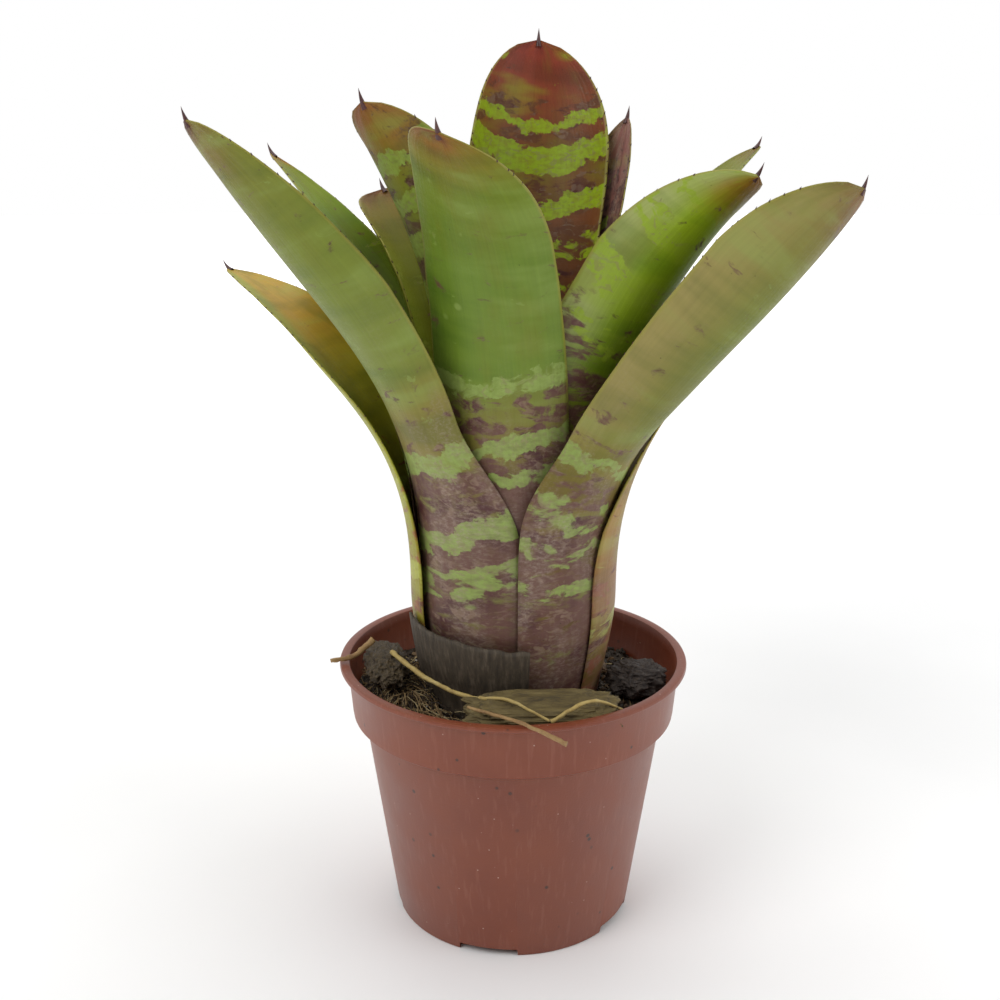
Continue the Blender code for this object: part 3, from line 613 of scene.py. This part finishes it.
def leaf_stations(leaf, count):
    """Midrib points with the leaf's inward and sideways directions, in its own frame in mm."""
    fine = 2
    step = (leaf.length - SPINE_SET_BACK) / (count * fine)
    place = Vector((sheath_radius(leaf.layer), 0, sheath_base(leaf.layer)))
    stations = []
    for k in range(count * fine + 1):
        s = k * step
        if k % fine == 0:
            stations.append((s, place.copy()) + leaf_directions(leaf, s))
        lean, side = leaf_bend(leaf, s + step / 2)
        run = Vector((math.sin(lean), math.cos(lean) * math.sin(side), math.cos(lean) * math.cos(side)))
        place += run * step
    return stations


def leaf_half_width(leaf, s):
    """Half of the leaf's width, measured along its curved section, in mm."""
    sheath = math.radians(leaf.wrap) * sheath_radius(leaf.layer)
    narrowing = ease((s - leaf.narrow_from) / (leaf.narrow_to - leaf.narrow_from))
    width = sheath + (leaf.half_width - sheath) * narrowing
    width *= 1 + leaf.swell * ease((s - leaf.narrow_from) / (0.75 * leaf.length - leaf.narrow_from))
    t = min(max((s - leaf.length + SPINE_SET_BACK + leaf.tip) / leaf.tip, 0.0), 1.0)
    outline = (1 - leaf.point) * math.sqrt(max(1 - t ** 2.2, 0.0)) + leaf.point * (1 - t)
    return max(width * outline, LEAST_HALF_WIDTH)


def leaf_curvature(leaf, s):
    """Curvature of the leaf's section: the sheath's circle, then the blade's channel."""
    sheath = 1 / sheath_radius(leaf.layer)
    blade = math.radians(leaf.cup) / leaf.half_width
    reach = leaf.narrow_to - leaf.narrow_from + 25
    return sheath + (blade - sheath) * ease((s - leaf.narrow_from + 10) / reach)


def leaf_point(leaf, station, across, lift):
    """World point of the leaf; across runs from -1 to 1 and lift is outwards, in mm."""
    s, place, inward, left = station
    bend = leaf_curvature(leaf, s)
    angle = bend * across * leaf_half_width(leaf, s)
    outward = left * math.sin(angle) - inward * math.cos(angle)
    point = place + left * (math.sin(angle) / bend) + inward * ((1 - math.cos(angle)) / bend)
    point += outward * lift
    point.x *= waist(point.z)
    point.y *= waist(point.z)
    return Matrix.Rotation(math.radians(leaf.azimuth), 3, "Z") @ (point * MM)


def leaf_ripple(leaf, along, across):
    """Slight unevenness of the blade, in mm; the sheath has none."""
    grown = ease((along - 0.5) / 0.2)
    swell = noise.noise(Vector((across * 1.1, along * 5.0, leaf.azimuth)))
    flute = math.cos(across * 17.0) * 0.03
    edge = noise.noise(Vector((across * 2.0, along * 16.0, leaf.length))) * 0.3 * across ** 4
    return (swell * 0.35 + flute + edge) * grown


def leaf_thickness(across, along):
    body = MARGIN_THICKNESS + (LEAF_THICKNESS - MARGIN_THICKNESS) * (1 - across ** 2)
    return body * (1 - 0.35 * ease((along - 0.8) / 0.2))


# Mesh helpers

def finish_piece(bm, name, materials, smooth=True):
    """Turn a bmesh into a named object with faces that point outwards."""
    bmesh.ops.recalc_face_normals(bm, faces=bm.faces)
    if bm.calc_volume(signed=True) < 0:
        bmesh.ops.reverse_faces(bm, faces=bm.faces)
    for face in bm.faces:
        face.smooth = smooth
    mesh = bpy.data.meshes.new(name)
    bm.to_mesh(mesh)
    bm.free()
    item = bpy.data.objects.new(name, mesh)
    bpy.context.collection.objects.link(item)
    for material in materials:
        mesh.materials.append(material)
    return item


def seat(item, slot, *nodes):
    """Let a piece ride on the part, for the nodes that it stands for; slot is not used."""
    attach(item, "root")
    if nodes:
        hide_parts(*nodes)
    return item


def spin_outline(outline, steps):
    """Turn an outline of (radius, height) points in mm, from axis to axis, round the Z axis."""
    bm = bmesh.new()
    verts = [bm.verts.new((radius * MM, 0, height * MM)) for radius, height in outline]
    edges = [bm.edges.new(pair) for pair in zip(verts, verts[1:])]
    bmesh.ops.spin(bm, geom=verts + edges, cent=(0, 0, 0), axis=(0, 0, 1),
                   angle=math.tau, steps=steps, use_merge=True)
    bmesh.ops.remove_doubles(bm, verts=bm.verts, dist=0.001 * MM)
    return bm


def add_spine(bm, root, direction, bend, length, radius, material_index, sides=8, rings=6):
    """A curved thorn: rings pushed along a direction that turns, closed at its root and its point."""
    before = set(bm.faces)
    turn = direction.to_track_quat("Z", "Y").to_matrix().to_4x4()
    made = bmesh.ops.create_circle(bm, cap_ends=True, segments=sides, radius=radius,
                                   matrix=Matrix.Translation(root) @ turn)
    face = made["verts"][0].link_faces[0]
    centre = root.copy()
    for k in range(rings):
        direction = (direction + bend / rings).normalized()
        step = direction * (length / rings)
        centre = centre + step
        face = bmesh.ops.extrude_discrete_faces(bm, faces=[face])["faces"][0]
        bmesh.ops.translate(bm, verts=face.verts, vec=step)
        size = (1 - (k + 1) / (rings + 0.15)) / (1 - k / (rings + 0.15))
        bmesh.ops.scale(bm, verts=face.verts, vec=(size, size, size), space=Matrix.Translation(-centre))
    for face in set(bm.faces) - before:
        face.material_index = material_index


def add_teeth(bm, leaf, stations):
    """Small thorns along both margins of the blade, turned towards its tip."""
    dice = random.Random(leaf.length * 7 + leaf.azimuth)
    s = leaf.narrow_to * 0.85
    while s < leaf.length - 6:
        row = min(int(s / leaf.length * LEAF_ROWS), LEAF_ROWS - 2)
        along = row / LEAF_ROWS
        for side in (-1, 1):
            lift = leaf_ripple(leaf, along, side)
            edge = leaf_point(leaf, stations[row], side, lift + 0.12)
            inner = leaf_point(leaf, stations[row], side * 0.94, lift + 0.12)
            ahead = leaf_point(leaf, stations[row + 2], side, lift + 0.12)
            out = (edge - inner).normalized()
            onward = (ahead - edge).normalized()
            direction = (out * 0.6 + onward * 0.8).normalized()
            length = (0.5 + 0.35 * dice.random()) * MM
            turn = direction.to_track_quat("Z", "Y").to_matrix().to_4x4()
            place = Matrix.Translation(edge - out * 0.15 * MM + direction * length * 0.4)
            made = bmesh.ops.create_cone(bm, cap_ends=True, segments=5, radius1=0.24 * MM,
                                         radius2=0.02 * MM, depth=length, matrix=place @ turn)
            for face in {face for vert in made["verts"] for face in vert.link_faces}:
                face.material_index = 2
        s += TOOTH_SPACING * (0.8 + 0.4 * dice.random())


def build_leaf(leaf):
    """A leaf: two faces a little apart, teeth along its margins and a thorn at its tip."""
    stations = leaf_stations(leaf, LEAF_ROWS)
    bm = bmesh.new()
    layer = bm.loops.layers.uv.new("leaf_map")
    bmesh.ops.create_grid(bm, x_segments=LEAF_COLUMNS, y_segments=LEAF_ROWS, size=1)
    first = list(bm.faces)
    grown = bmesh.ops.extrude_face_region(bm, geom=bm.faces[:] + bm.edges[:] + bm.verts[:],
                                          use_keep_orig=True)
    outer = {item for item in grown["geom"] if isinstance(item, bmesh.types.BMVert)}
    for face in bm.faces:
        for loop in face.loops:
            loop[layer].uv = ((loop.vert.co.x + 1) / 2, (loop.vert.co.y + 1) / 2)
    for face in first:
        face.material_index = 1
    for vert in bm.verts:
        row = round((vert.co.y + 1) / 2 * LEAF_ROWS)
        across = vert.co.x
        along = row / LEAF_ROWS
        lift = leaf_ripple(leaf, along, across)
        if vert in outer:
            lift += leaf_thickness(across, along)
        vert.co = leaf_point(leaf, stations[row], across, lift)
    add_teeth(bm, leaf, stations)
    root = leaf_point(leaf, stations[LEAF_ROWS - 1], 0.0, 0.2)
    end = leaf_point(leaf, stations[LEAF_ROWS], 0.0, 0.2)
    onward = (end - root).normalized()
    add_spine(bm, root, onward, SPINE_BEND, SPINE_LENGTH * MM, 0.8 * MM, 2)
    seed = LEAVES.index(leaf) * 37.0
    skin = SKINS.get(leaf.name, PLAIN)
    item = finish_piece(bm, leaf.name + "_skin", [
        leaf_material(leaf.name + "_outside", skin, seed),
        leaf_material(leaf.name + "_inside", skin, seed + 11.0),
        MATERIALS["thorn"]])
    return seat(item, leaf.name, leaf.name)


# Old sheath

def build_old_sheath():
    """The dry, cut remnant of an older leaf's sheath: papery, with a ragged upper edge."""
    bm = bmesh.new()
    bmesh.ops.create_grid(bm, x_segments=OLD_SHEATH_COLUMNS, y_segments=OLD_SHEATH_ROWS, size=1)
    grown = bmesh.ops.extrude_face_region(bm, geom=bm.faces[:] + bm.edges[:] + bm.verts[:],
                                          use_keep_orig=True)
    outer = {item for item in grown["geom"] if isinstance(item, bmesh.types.BMVert)}
    base = sheath_base(OLD_SHEATH_LAYER)
    for vert in bm.verts:
        across = vert.co.x
        share = (vert.co.y + 1) / 2
        slant = OLD_SHEATH_TOP_LEFT + (OLD_SHEATH_TOP_RIGHT - OLD_SHEATH_TOP_LEFT) * (across + 1) / 2
        fray = noise.noise(Vector((across * 6, 0.0, 3.0))) * 0.7 + noise.noise(Vector((across * 40, 0, 7))) * 0.35
        height = base + (slant + fray - base) * share
        fold = noise.noise(Vector((across * 3, share * 1.5, 1.0))) * 0.3 * share
        lift = (0.75 if vert in outer else 0.15) + max(fold, -0.1)
        radius = (sheath_radius(OLD_SHEATH_LAYER) + lift) * waist(height)
        angle = math.radians(OLD_SHEATH_AZIMUTH + OLD_SHEATH_WRAP * across)
        vert.co = Vector((radius * math.cos(angle), radius * math.sin(angle), height)) * MM
    item = finish_piece(bm, "old_sheath_skin", [MATERIALS["old_sheath"]])
    return seat(item, "old_sheath", "old_sheath")


# Pot

def pot_outline():
    """Outline of the pot's wall, from the axis under the base to the axis on the floor."""
    shoulder = POT_HEIGHT - COLLAR_HEIGHT
    lip_foot = POT_HEIGHT - LIP_HEIGHT
    inner_foot = shoulder + WALL
    return [
        (0, 0.5),
        (BASE_RADIUS - 5.0, 0.5),
        (BASE_RADIUS - 4.4, 0),
        (BASE_RADIUS - EDGE, 0),
        (BASE_RADIUS - 0.2, 0.15),
        (BASE_RADIUS, EDGE),
        (BODY_TOP_RADIUS, shoulder - 0.2),
        (BODY_TOP_RADIUS + 0.3, shoulder + 0.15),
        (COLLAR_FOOT_RADIUS - 1.0, shoulder + 0.4),
        (COLLAR_FOOT_RADIUS - 0.2, shoulder + 1.0),
        (COLLAR_FOOT_RADIUS, shoulder + 2.3),
        (COLLAR_TOP_RADIUS - 0.05, lip_foot - 0.5),
        (COLLAR_TOP_RADIUS + 0.3, lip_foot),
        (RIM_RADIUS - EDGE, lip_foot + 0.1),
        (RIM_RADIUS - 0.1, lip_foot + 0.4),
        (RIM_RADIUS, lip_foot + EDGE),
        (RIM_RADIUS, POT_HEIGHT - EDGE),
        (RIM_RADIUS - 0.2, POT_HEIGHT - 0.15),
        (RIM_RADIUS - EDGE, POT_HEIGHT),
        (COLLAR_TOP_RADIUS, POT_HEIGHT),
        (COLLAR_TOP_RADIUS - 0.4, POT_HEIGHT - 0.15),
        (COLLAR_TOP_RADIUS - EDGE, POT_HEIGHT - EDGE),
        (COLLAR_TOP_RADIUS - WALL, lip_foot - WALL),
        (COLLAR_FOOT_RADIUS - WALL, inner_foot + 2.0),
        (COLLAR_FOOT_RADIUS - 2 * WALL, inner_foot + 0.8),
        (BODY_TOP_RADIUS - WALL, inner_foot),
        (BASE_RADIUS - WALL + 0.1, FLOOR + EDGE),
        (BASE_RADIUS - WALL - EDGE, FLOOR),
        (0, FLOOR),
    ]


def build_pot():
    """The pot, with drainage notches cut through the lower edge of its wall."""
    bm = spin_outline(pot_outline(), POT_STEPS)
    pot = finish_piece(bm, "pot_shell", [MATERIALS["pot"]])
    bm = bmesh.new()
    for k in range(NOTCHES):
        turn = Matrix.Rotation(math.radians(FIRST_NOTCH_AZIMUTH + k * 360 / NOTCHES), 4, "Z")
        shift = Matrix.Translation((BASE_RADIUS * MM, 0, 0))
        grow = Matrix.Diagonal((6 * MM, NOTCH_WIDTH * MM, 2 * NOTCH_HEIGHT * MM, 1))
        bmesh.ops.create_cube(bm, size=1, matrix=turn @ shift @ grow)
    bmesh.ops.bevel(bm, geom=bm.edges[:], offset=0.5 * MM, affect="EDGES", segments=3, profile=0.5,
                    material=-1)
    cutter = finish_piece(bm, "notch_cutter", [MATERIALS["pot"]])
    cut = pot.modifiers.new("drainage notches", "BOOLEAN")
    cut.object = cutter
    cut.solver = "EXACT"
    bpy.context.view_layer.update()
    carved = bpy.data.meshes.new_from_object(pot.evaluated_get(bpy.context.evaluated_depsgraph_get()))
    pot.modifiers.clear()
    pot.data = carved
    bpy.data.objects.remove(cutter, do_unlink=True)
    pot.data.set_sharp_from_angle(angle=math.radians(40))
    return seat(pot, "pot", "pot")


# Potting mix

def mix_height(x, y):
    """Height of the mix's smooth surface in mm."""
    height = MIX_LEVEL
    for bump in BUMPS:
        away = ((x - bump.x) ** 2 + (y - bump.y) ** 2) / bump.spread ** 2
        height += bump.height * math.exp(-away)
    return height


def crumb_height(x, y):
    """Height of the mix's crumbly surface in mm."""
    rough = noise.fractal(Vector((x * 0.22, y * 0.22, 4.0)), 0.8, 2.1, 5)
    return mix_height(x, y) + rough * 1.5 - 0.2


def pocket_radius(height):
    """Radius of the pocket in the mix that the sheaths stand in."""
    rim = sheath_radius(OLD_SHEATH_LAYER) + LEAF_THICKNESS
    return (rim + POCKET_GAP) * waist(height)


def mix_wall_radius():
    return COLLAR_FOOT_RADIUS - WALL - SEAT_GAP


def mix_outline():
    """Outline of the mix, from the axis in the stem's pocket to the axis under it."""
    shoulder = sheath_base(OLD_SHEATH_LAYER) - STEM_GAP - STEM_SHOULDER_DROP
    collar_step = POT_HEIGHT - COLLAR_HEIGHT + WALL
    points = [(r + (POCKET_GAP if r else 0), z - POCKET_GAP) for r, z in reversed(STEM_LOWER)]
    points.append((pocket_radius(shoulder), shoulder - POCKET_GAP))
    points.append((pocket_radius(50.0), 50.0))
    radius = pocket_radius(MIX_LEVEL)
    while radius < mix_wall_radius():
        points.append((radius, MIX_LEVEL))
        radius += MIX_RING_STEP
    points.append((mix_wall_radius(), MIX_LEVEL))
    points.append((mix_wall_radius() - 1.4, collar_step + 1.4))
    points.append((BODY_TOP_RADIUS - WALL - SEAT_GAP - 0.3, collar_step - 0.2))
    points.append((BASE_RADIUS - WALL - SEAT_GAP, FLOOR + EDGE + SEAT_GAP))
    points.append((BASE_RADIUS - WALL - EDGE - SEAT_GAP, FLOOR + SEAT_GAP))
    points.append((0, FLOOR + SEAT_GAP))
    return points


def build_mix():
    """The potting mix with a crumbly top."""
    bm = spin_outline(mix_outline(), MIX_STEPS)
    for vert in bm.verts:
        if vert.co.z / MM < MIX_LEVEL - 0.01:
            continue
        x, y = vert.co.x / MM, vert.co.y / MM
        vert.co.z = crumb_height(x, y) * MM
    return seat(finish_piece(bm, "potting_mix_bed", [MATERIALS["mix"]]), "potting_mix", "potting_mix")


def mix_spot(dice, near=None, spread=8.0):
    """A place on the mix between the plant and the wall, in mm."""
    while True:
        if near:
            x, y = dice.gauss(near[0], spread), dice.gauss(near[1], spread)
        else:
            angle = dice.uniform(0, math.tau)
            radius = math.sqrt(dice.uniform(22.0 ** 2, 40.0 ** 2))
            x, y = radius * math.cos(angle), radius * math.sin(angle)
        if 22.5 < math.hypot(x, y) < 40.0:
            return x, y


def add_grain(bm, dice, x, y, height, size, flat):
    """One angular crumb; size is its radius in mm."""
    turn = Matrix.Rotation(dice.uniform(0, math.tau), 4, (dice.random(), dice.random(), dice.random() + 0.1))
    grow = Matrix.Diagonal((dice.uniform(0.7, 1.5), dice.uniform(0.6, 1.1), flat, 1))
    place = Matrix.Translation(Vector((x, y, height)) * MM)
    bmesh.ops.create_icosphere(bm, subdivisions=1, radius=size * MM, matrix=place @ turn @ grow)


def build_grains():
    """Loose crumbs, chips of bark and pale grains on the mix."""
    dice = random.Random(11)
    kinds = (("soil_crumbs", "potting_mix", "crumb", 1500, 0.28, 0.95, 0.8),
             ("bark_chips", "bark", "chip", 190, 0.6, 1.6, 0.4),
             ("pale_grains", "potting_mix", "grit", 90, 0.22, 0.55, 0.9))
    for name, slot, material, count, least, most, flat in kinds:
        bm = bmesh.new()
        for _ in range(count):
            x, y = mix_spot(dice)
            size = dice.uniform(least, most)
            add_grain(bm, dice, x, y, crumb_height(x, y) + size * 0.3, size, flat)
        seat(finish_piece(bm, name, [MATERIALS[material]], smooth=False), slot)


def build_lump(lump, material, slot, square, coarse, stretch, detail):
    """A rough lump; square makes it blocky, coarse is how deep its surface is worn, in shares."""
    bm = bmesh.new()
    bmesh.ops.create_icosphere(bm, subdivisions=6, radius=1)
    for vert in bm.verts:
        point = vert.co.copy()
        boxy = Vector([math.copysign(abs(c) ** square, c) for c in point])
        worn = noise.fractal(Vector((point.x * stretch, point.y * detail, point.z * detail)), 0.7, 2.0, 6)
        vert.co = boxy * (0.93 + coarse * worn)
    place = Matrix.Translation(Vector((lump.x, lump.y, lump.z)) * MM)
    turn = Matrix.Rotation(math.radians(lump.turn), 4, "Z") @ Matrix.Rotation(math.radians(lump.tilt), 4, "X")
    size = Matrix.Diagonal([half * MM for half in lump.size] + [1])
    bmesh.ops.transform(bm, matrix=place @ turn @ size, verts=bm.verts)
    return seat(finish_piece(bm, lump.name + "_piece", [MATERIALS[material]]), slot, lump.name)


# Roots, straws and fibres

def smooth_path(points, parts, wander, dice):
    """Points of a smooth line through the given ones, in mm, with a slight wander."""
    ends = [points[0]] + list(points) + [points[-1]]
    path = []
    for k in range(len(points) - 1):
        a, b, c, d = (Vector(p) for p in ends[k:k + 4])
        for part in range(parts):
            t = part / parts
            place = 0.5 * (2 * b + (c - a) * t + (2 * a - 5 * b + 4 * c - d) * t * t
                           + (3 * b - a - 3 * c + d) * t ** 3)
            path.append(place + Vector([dice.uniform(-wander, wander) for _ in range(3)]))
    path.append(Vector(points[-1]))
    return path


def new_curve(name, thickness, rounds):
    curve = bpy.data.curves.new(name, "CURVE")
    curve.dimensions = "3D"
    curve.bevel_depth = thickness * MM
    curve.bevel_resolution = rounds
    curve.use_fill_caps = True
    return curve


def add_line(curve, path, thin_from, thin_to, dice):
    """A line on a curve, whose thickness runs from one share to another with small knots."""
    spline = curve.splines.new("POLY")
    spline.points.add(len(path) - 1)
    for k, (point, place) in enumerate(zip(spline.points, path)):
        share = k / (len(path) - 1)
        point.co = (*(place * MM), 1)
        point.radius = (thin_from + (thin_to - thin_from) * share) * dice.uniform(0.82, 1.1)


def place_curve(name, curve, material, slot, *nodes):
    item = bpy.data.objects.new(name, curve)
    bpy.context.collection.objects.link(item)
    curve.materials.append(MATERIALS[material])
    return seat(item, slot, *nodes)


def build_strands():
    """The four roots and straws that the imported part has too."""
    dice = random.Random(5)
    looks = {"long_root": ("root", 1.0, 0.45, "root"), "rim_straw": ("straw", 0.55, 0.9, "fibre"),
             "rim_twig": ("straw", 0.6, 1.0, "fibre"), "arched_root": ("root", 0.9, 0.5, "root")}
    for strand in STRANDS:
        material, first, last, slot = looks[strand.name]
        curve = new_curve(strand.name + "_line", strand.radius, 3)
        add_line(curve, smooth_path(strand.points, 9, 0.10, dice), first, last, dice)
        place_curve(strand.name + "_piece", curve, material, slot, strand.name)


def fibre_path(dice, x, y, length, lift, heading=None):
    """A crooked fibre that starts on the mix, in mm."""
    heading = dice.uniform(0, math.tau) if heading is None else heading
    bend = dice.gauss(0, 0.28)
    steps = 7
    path = []
    for k in range(steps + 1):
        share = k / steps
        arch = math.sin(share * math.pi * dice.uniform(0.9, 1.1)) * lift
        height = crumb_height(x, y) + 0.25 + arch
        if math.hypot(x, y) > 39.8:
            break
        path.append(Vector((x, y, height)))
        x += math.cos(heading) * length / steps
        y += math.sin(heading) * length / steps
        heading += bend + dice.gauss(0, 0.16)
        if math.hypot(x, y) < 21.5:
            break
    return path


def build_fibres():
    """Fine fibres: a tangle on the left mound and scattered ones elsewhere."""
    dice = random.Random(23)
    kinds = (("tan_fibres", "fibre_tan", 0.17, 230), ("dark_fibres", "fibre_dark", 0.15, 260),
             ("pale_fibres", "fibre_pale", 0.13, 90))
    for name, material, thickness, count in kinds:
        curve = new_curve(name, thickness, 0)
        made = 0
        while made < count:
            nearby = dice.random() < 0.66
            x, y = mix_spot(dice, (-29.0, -12.0) if nearby else None, 9.0)
            lift = dice.uniform(0.3, 3.2) if nearby else dice.uniform(0.1, 1.6)
            path = fibre_path(dice, x, y, dice.uniform(7, 22) if nearby else dice.uniform(5, 15), lift)
            if len(path) < 4:
                continue
            add_line(curve, path, dice.uniform(0.8, 1.4), dice.uniform(0.3, 0.8), dice)
            made += 1
        place_curve(name, curve, material, "fibre")

# Other materials

def pot_material():
    """Satin red-brown plastic with faint clouds, specks of soil and pale dust."""
    material, tree, shader = new_material("pot_plastic")
    place = object_place(tree)
    clouds = cloud(tree, place, 0.05, 4.0)
    tone = ramp(tree, clouds, ((0.0, (0.185, 0.040, 0.016)), (1.0, (0.225, 0.056, 0.024))))
    streaks = cloud(tree, stretched(tree, place, 0.9, 0.9, 0.06), 1.0, 3.0)
    tone = blend_tones(tree, span(tree, streaks, 0.55, 1.0, 0.0, 0.16), tone, (0.36, 0.15, 0.10))
    low = add_node(tree, "ShaderNodeSeparateXYZ", {0: place}).outputs[2]
    gather = cloud(tree, place, 0.07, 2.0)
    dirt = calc(tree, "MULTIPLY", spots(tree, place, 0.22, 0.15), span(tree, gather, 0.45, 0.75))
    tone = blend_tones(tree, dirt, tone, (0.05, 0.022, 0.015))
    dust = calc(tree, "MULTIPLY", spots(tree, place, 0.31, 0.07), span(tree, gather, 0.7, 0.4))
    tone = blend_tones(tree, calc(tree, "MULTIPLY", dust, 0.7), tone, (0.55, 0.40, 0.33))
    splash = calc(tree, "MULTIPLY", spots(tree, place, 0.6, 0.16), span(tree, low, 16.0, 0.0))
    tone = blend_tones(tree, calc(tree, "MULTIPLY", splash, 0.4), tone, (0.11, 0.05, 0.035))
    fine = cloud(tree, place, 2.2, 2.0)
    finish_shader(tree, shader, tone, span(tree, clouds, 0.0, 1.0, 0.34, 0.44), fine, 0.02)
    return material


def make_materials():
    return {
        "pot": pot_material(),
        "mix": plain_material("mix_bed", ((0.010, 0.007, 0.005), (0.035, 0.024, 0.014), (0.075, 0.05, 0.028)),
                              0.5, depth=0.6),
        "crumb": plain_material("mix_crumb", ((0.008, 0.006, 0.004), (0.030, 0.020, 0.012),
                                              (0.085, 0.055, 0.03)), 0.35, depth=0.2),
        "chip": plain_material("bark_chip", ((0.03, 0.017, 0.008), (0.10, 0.055, 0.025), (0.20, 0.13, 0.06)),
                               0.2, depth=0.2),
        "grit": plain_material("pale_grit", ((0.45, 0.42, 0.36), (0.75, 0.73, 0.68)), 0.5, depth=0.1),
        "bark": plain_material("bark_block", ((0.03, 0.02, 0.008), (0.125, 0.09, 0.03), (0.21, 0.16, 0.06)),
                               0.55, depth=0.5, stretch=(0.25, 1.0, 1.4)),
        "clod": plain_material("soil_clod", ((0.010, 0.007, 0.006), (0.03, 0.02, 0.016), (0.07, 0.05, 0.035)),
                               0.8, depth=0.5),
        "tangle": plain_material("fibre_bed", ((0.015, 0.010, 0.006), (0.06, 0.04, 0.018), (0.12, 0.08, 0.035)),
                                 0.9, depth=0.5),
        "root": plain_material("root_skin", ((0.27, 0.17, 0.05), (0.45, 0.33, 0.11), (0.52, 0.42, 0.18)),
                               0.3, depth=0.1),
        "straw": plain_material("straw_skin", ((0.16, 0.08, 0.03), (0.30, 0.18, 0.07), (0.42, 0.28, 0.12)),
                                0.25, depth=0.1),
        "fibre_tan": plain_material("tan_fibre", ((0.10, 0.06, 0.025), (0.22, 0.14, 0.06), (0.34, 0.24, 0.11)),
                                    0.12, depth=0.05),
        "fibre_dark": plain_material("dark_fibre", ((0.012, 0.008, 0.005), (0.05, 0.03, 0.015)),
                                     0.12, depth=0.05),
        "fibre_pale": plain_material("pale_fibre", ((0.34, 0.25, 0.12), (0.55, 0.45, 0.25)), 0.15, depth=0.05),
        "old_sheath": plain_material("dry_sheath", ((0.018, 0.013, 0.009), (0.055, 0.040, 0.024),
                                                    (0.13, 0.10, 0.07)), 0.3, depth=0.3, stretch=(3, 3, 0.35)),
        "thorn": plain_material("thorn_skin", ((0.035, 0.012, 0.014), (0.10, 0.03, 0.025)), 0.5,
                                rough=(0.35, 0.5), depth=0.03),
        "stem": plain_material("stem_skin", ((0.10, 0.07, 0.03), (0.28, 0.22, 0.11)), 0.3, depth=0.2),
    }


# Studio

def build_floor():
    bm = bmesh.new()
    bmesh.ops.create_circle(bm, cap_ends=True, segments=96, radius=4.0)
    material, tree, shader = new_material("studio_floor")
    place = object_place(tree)
    tone = ramp(tree, cloud(tree, place, 0.01, 2.0), ((0.0, 0.90), (1.0, 0.93)))
    tree.links.new(tone, shader.inputs["Base Color"])
    shader.inputs["Roughness"].default_value = 0.7
    away = add_node(tree, "ShaderNodeVectorMath", {0: place}, operation="LENGTH").outputs["Value"]
    glow = ramp(tree, span(tree, away, 150.0, 1500.0), ((0.0, 0.0), (1.0, 0.75)))
    tree.links.new(glow, shader.inputs["Emission Color"])
    shader.inputs["Emission Strength"].default_value = 1.0
    floor = finish_piece(bm, "studio_floor", [material])


def build_world():
    """Even pale light that is weaker from the viewer's side, seen as plain white."""
    world = bpy.data.worlds.new("studio_light")
    world.use_nodes = True
    tree = world.node_tree
    tree.nodes.clear()
    spot = add_node(tree, "ShaderNodeTexCoord").outputs["Generated"]
    toward = add_node(tree, "ShaderNodeSeparateXYZ", {0: spot}).outputs[1]
    glow = span(tree, toward, -0.9, 0.1, FRONT_GLOW, SIDE_GLOW)
    light = add_node(tree, "ShaderNodeBackground", {"Color": (1, 1, 1, 1), "Strength": glow})
    seen = add_node(tree, "ShaderNodeBackground", {"Color": (1, 1, 1, 1), "Strength": 1.0})
    camera_ray = add_node(tree, "ShaderNodeLightPath").outputs["Is Camera Ray"]
    both = add_node(tree, "ShaderNodeMixShader", {0: camera_ray, 1: light.outputs[0], 2: seen.outputs[0]})
    add_node(tree, "ShaderNodeOutputWorld", {"Surface": both.outputs[0]})
    bpy.context.scene.world = world


def add_light(name, place, aim, size, power):
    light = bpy.data.lights.new(name, "AREA")
    light.shape = "DISK"
    light.size = size
    light.energy = power
    item = bpy.data.objects.new(name, light)
    item.location = place
    item.rotation_euler = (Vector(aim) - Vector(place)).to_track_quat("-Z", "Y").to_euler()
    bpy.context.collection.objects.link(item)


def build_camera():
    camera = bpy.data.cameras.new("viewer")
    camera.lens = CAMERA_LENS
    camera.sensor_width = CAMERA_SENSOR
    camera.clip_start = 0.01
    item = bpy.data.objects.new("viewer", camera)
    item.location = CAMERA_PLACE
    item.rotation_euler = (math.radians(90 - CAMERA_DOWN), 0, 0)
    bpy.context.collection.objects.link(item)
    bpy.context.scene.camera = item


LEAF_PLACES = leaf_places_group()
LEAF_SKIN = leaf_skin_group()
MATERIALS = make_materials()

build_pot()
build_mix()
build_grains()
build_old_sheath()
for leaf in LEAVES:
    build_leaf(leaf)
build_lump(LUMPS[0], "bark", "bark", 0.55, 0.16, 0.9, 2.6)
build_lump(LUMPS[1], "clod", "soil_clump", 0.85, 0.22, 2.2, 2.2)
build_lump(LUMPS[2], "tangle", "fibre", 0.9, 0.20, 2.5, 2.5)
build_strands()
build_fibres()
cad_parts["stem"].data.materials.clear()
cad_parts["stem"].data.materials.append(MATERIALS["stem"])

build_floor()
build_world()
add_light("key", (-0.55, -0.55, 0.85), (0, 0, 0.12), 0.6, KEY_POWER)
add_light("fill", (0.75, -0.35, 0.6), (0, 0, 0.12), 0.7, FILL_POWER)
add_light("top", (0.0, 0.35, 1.1), (0, 0, 0.10), 0.8, TOP_POWER)
build_camera()
bpy.context.scene.view_settings.view_transform = "Standard"
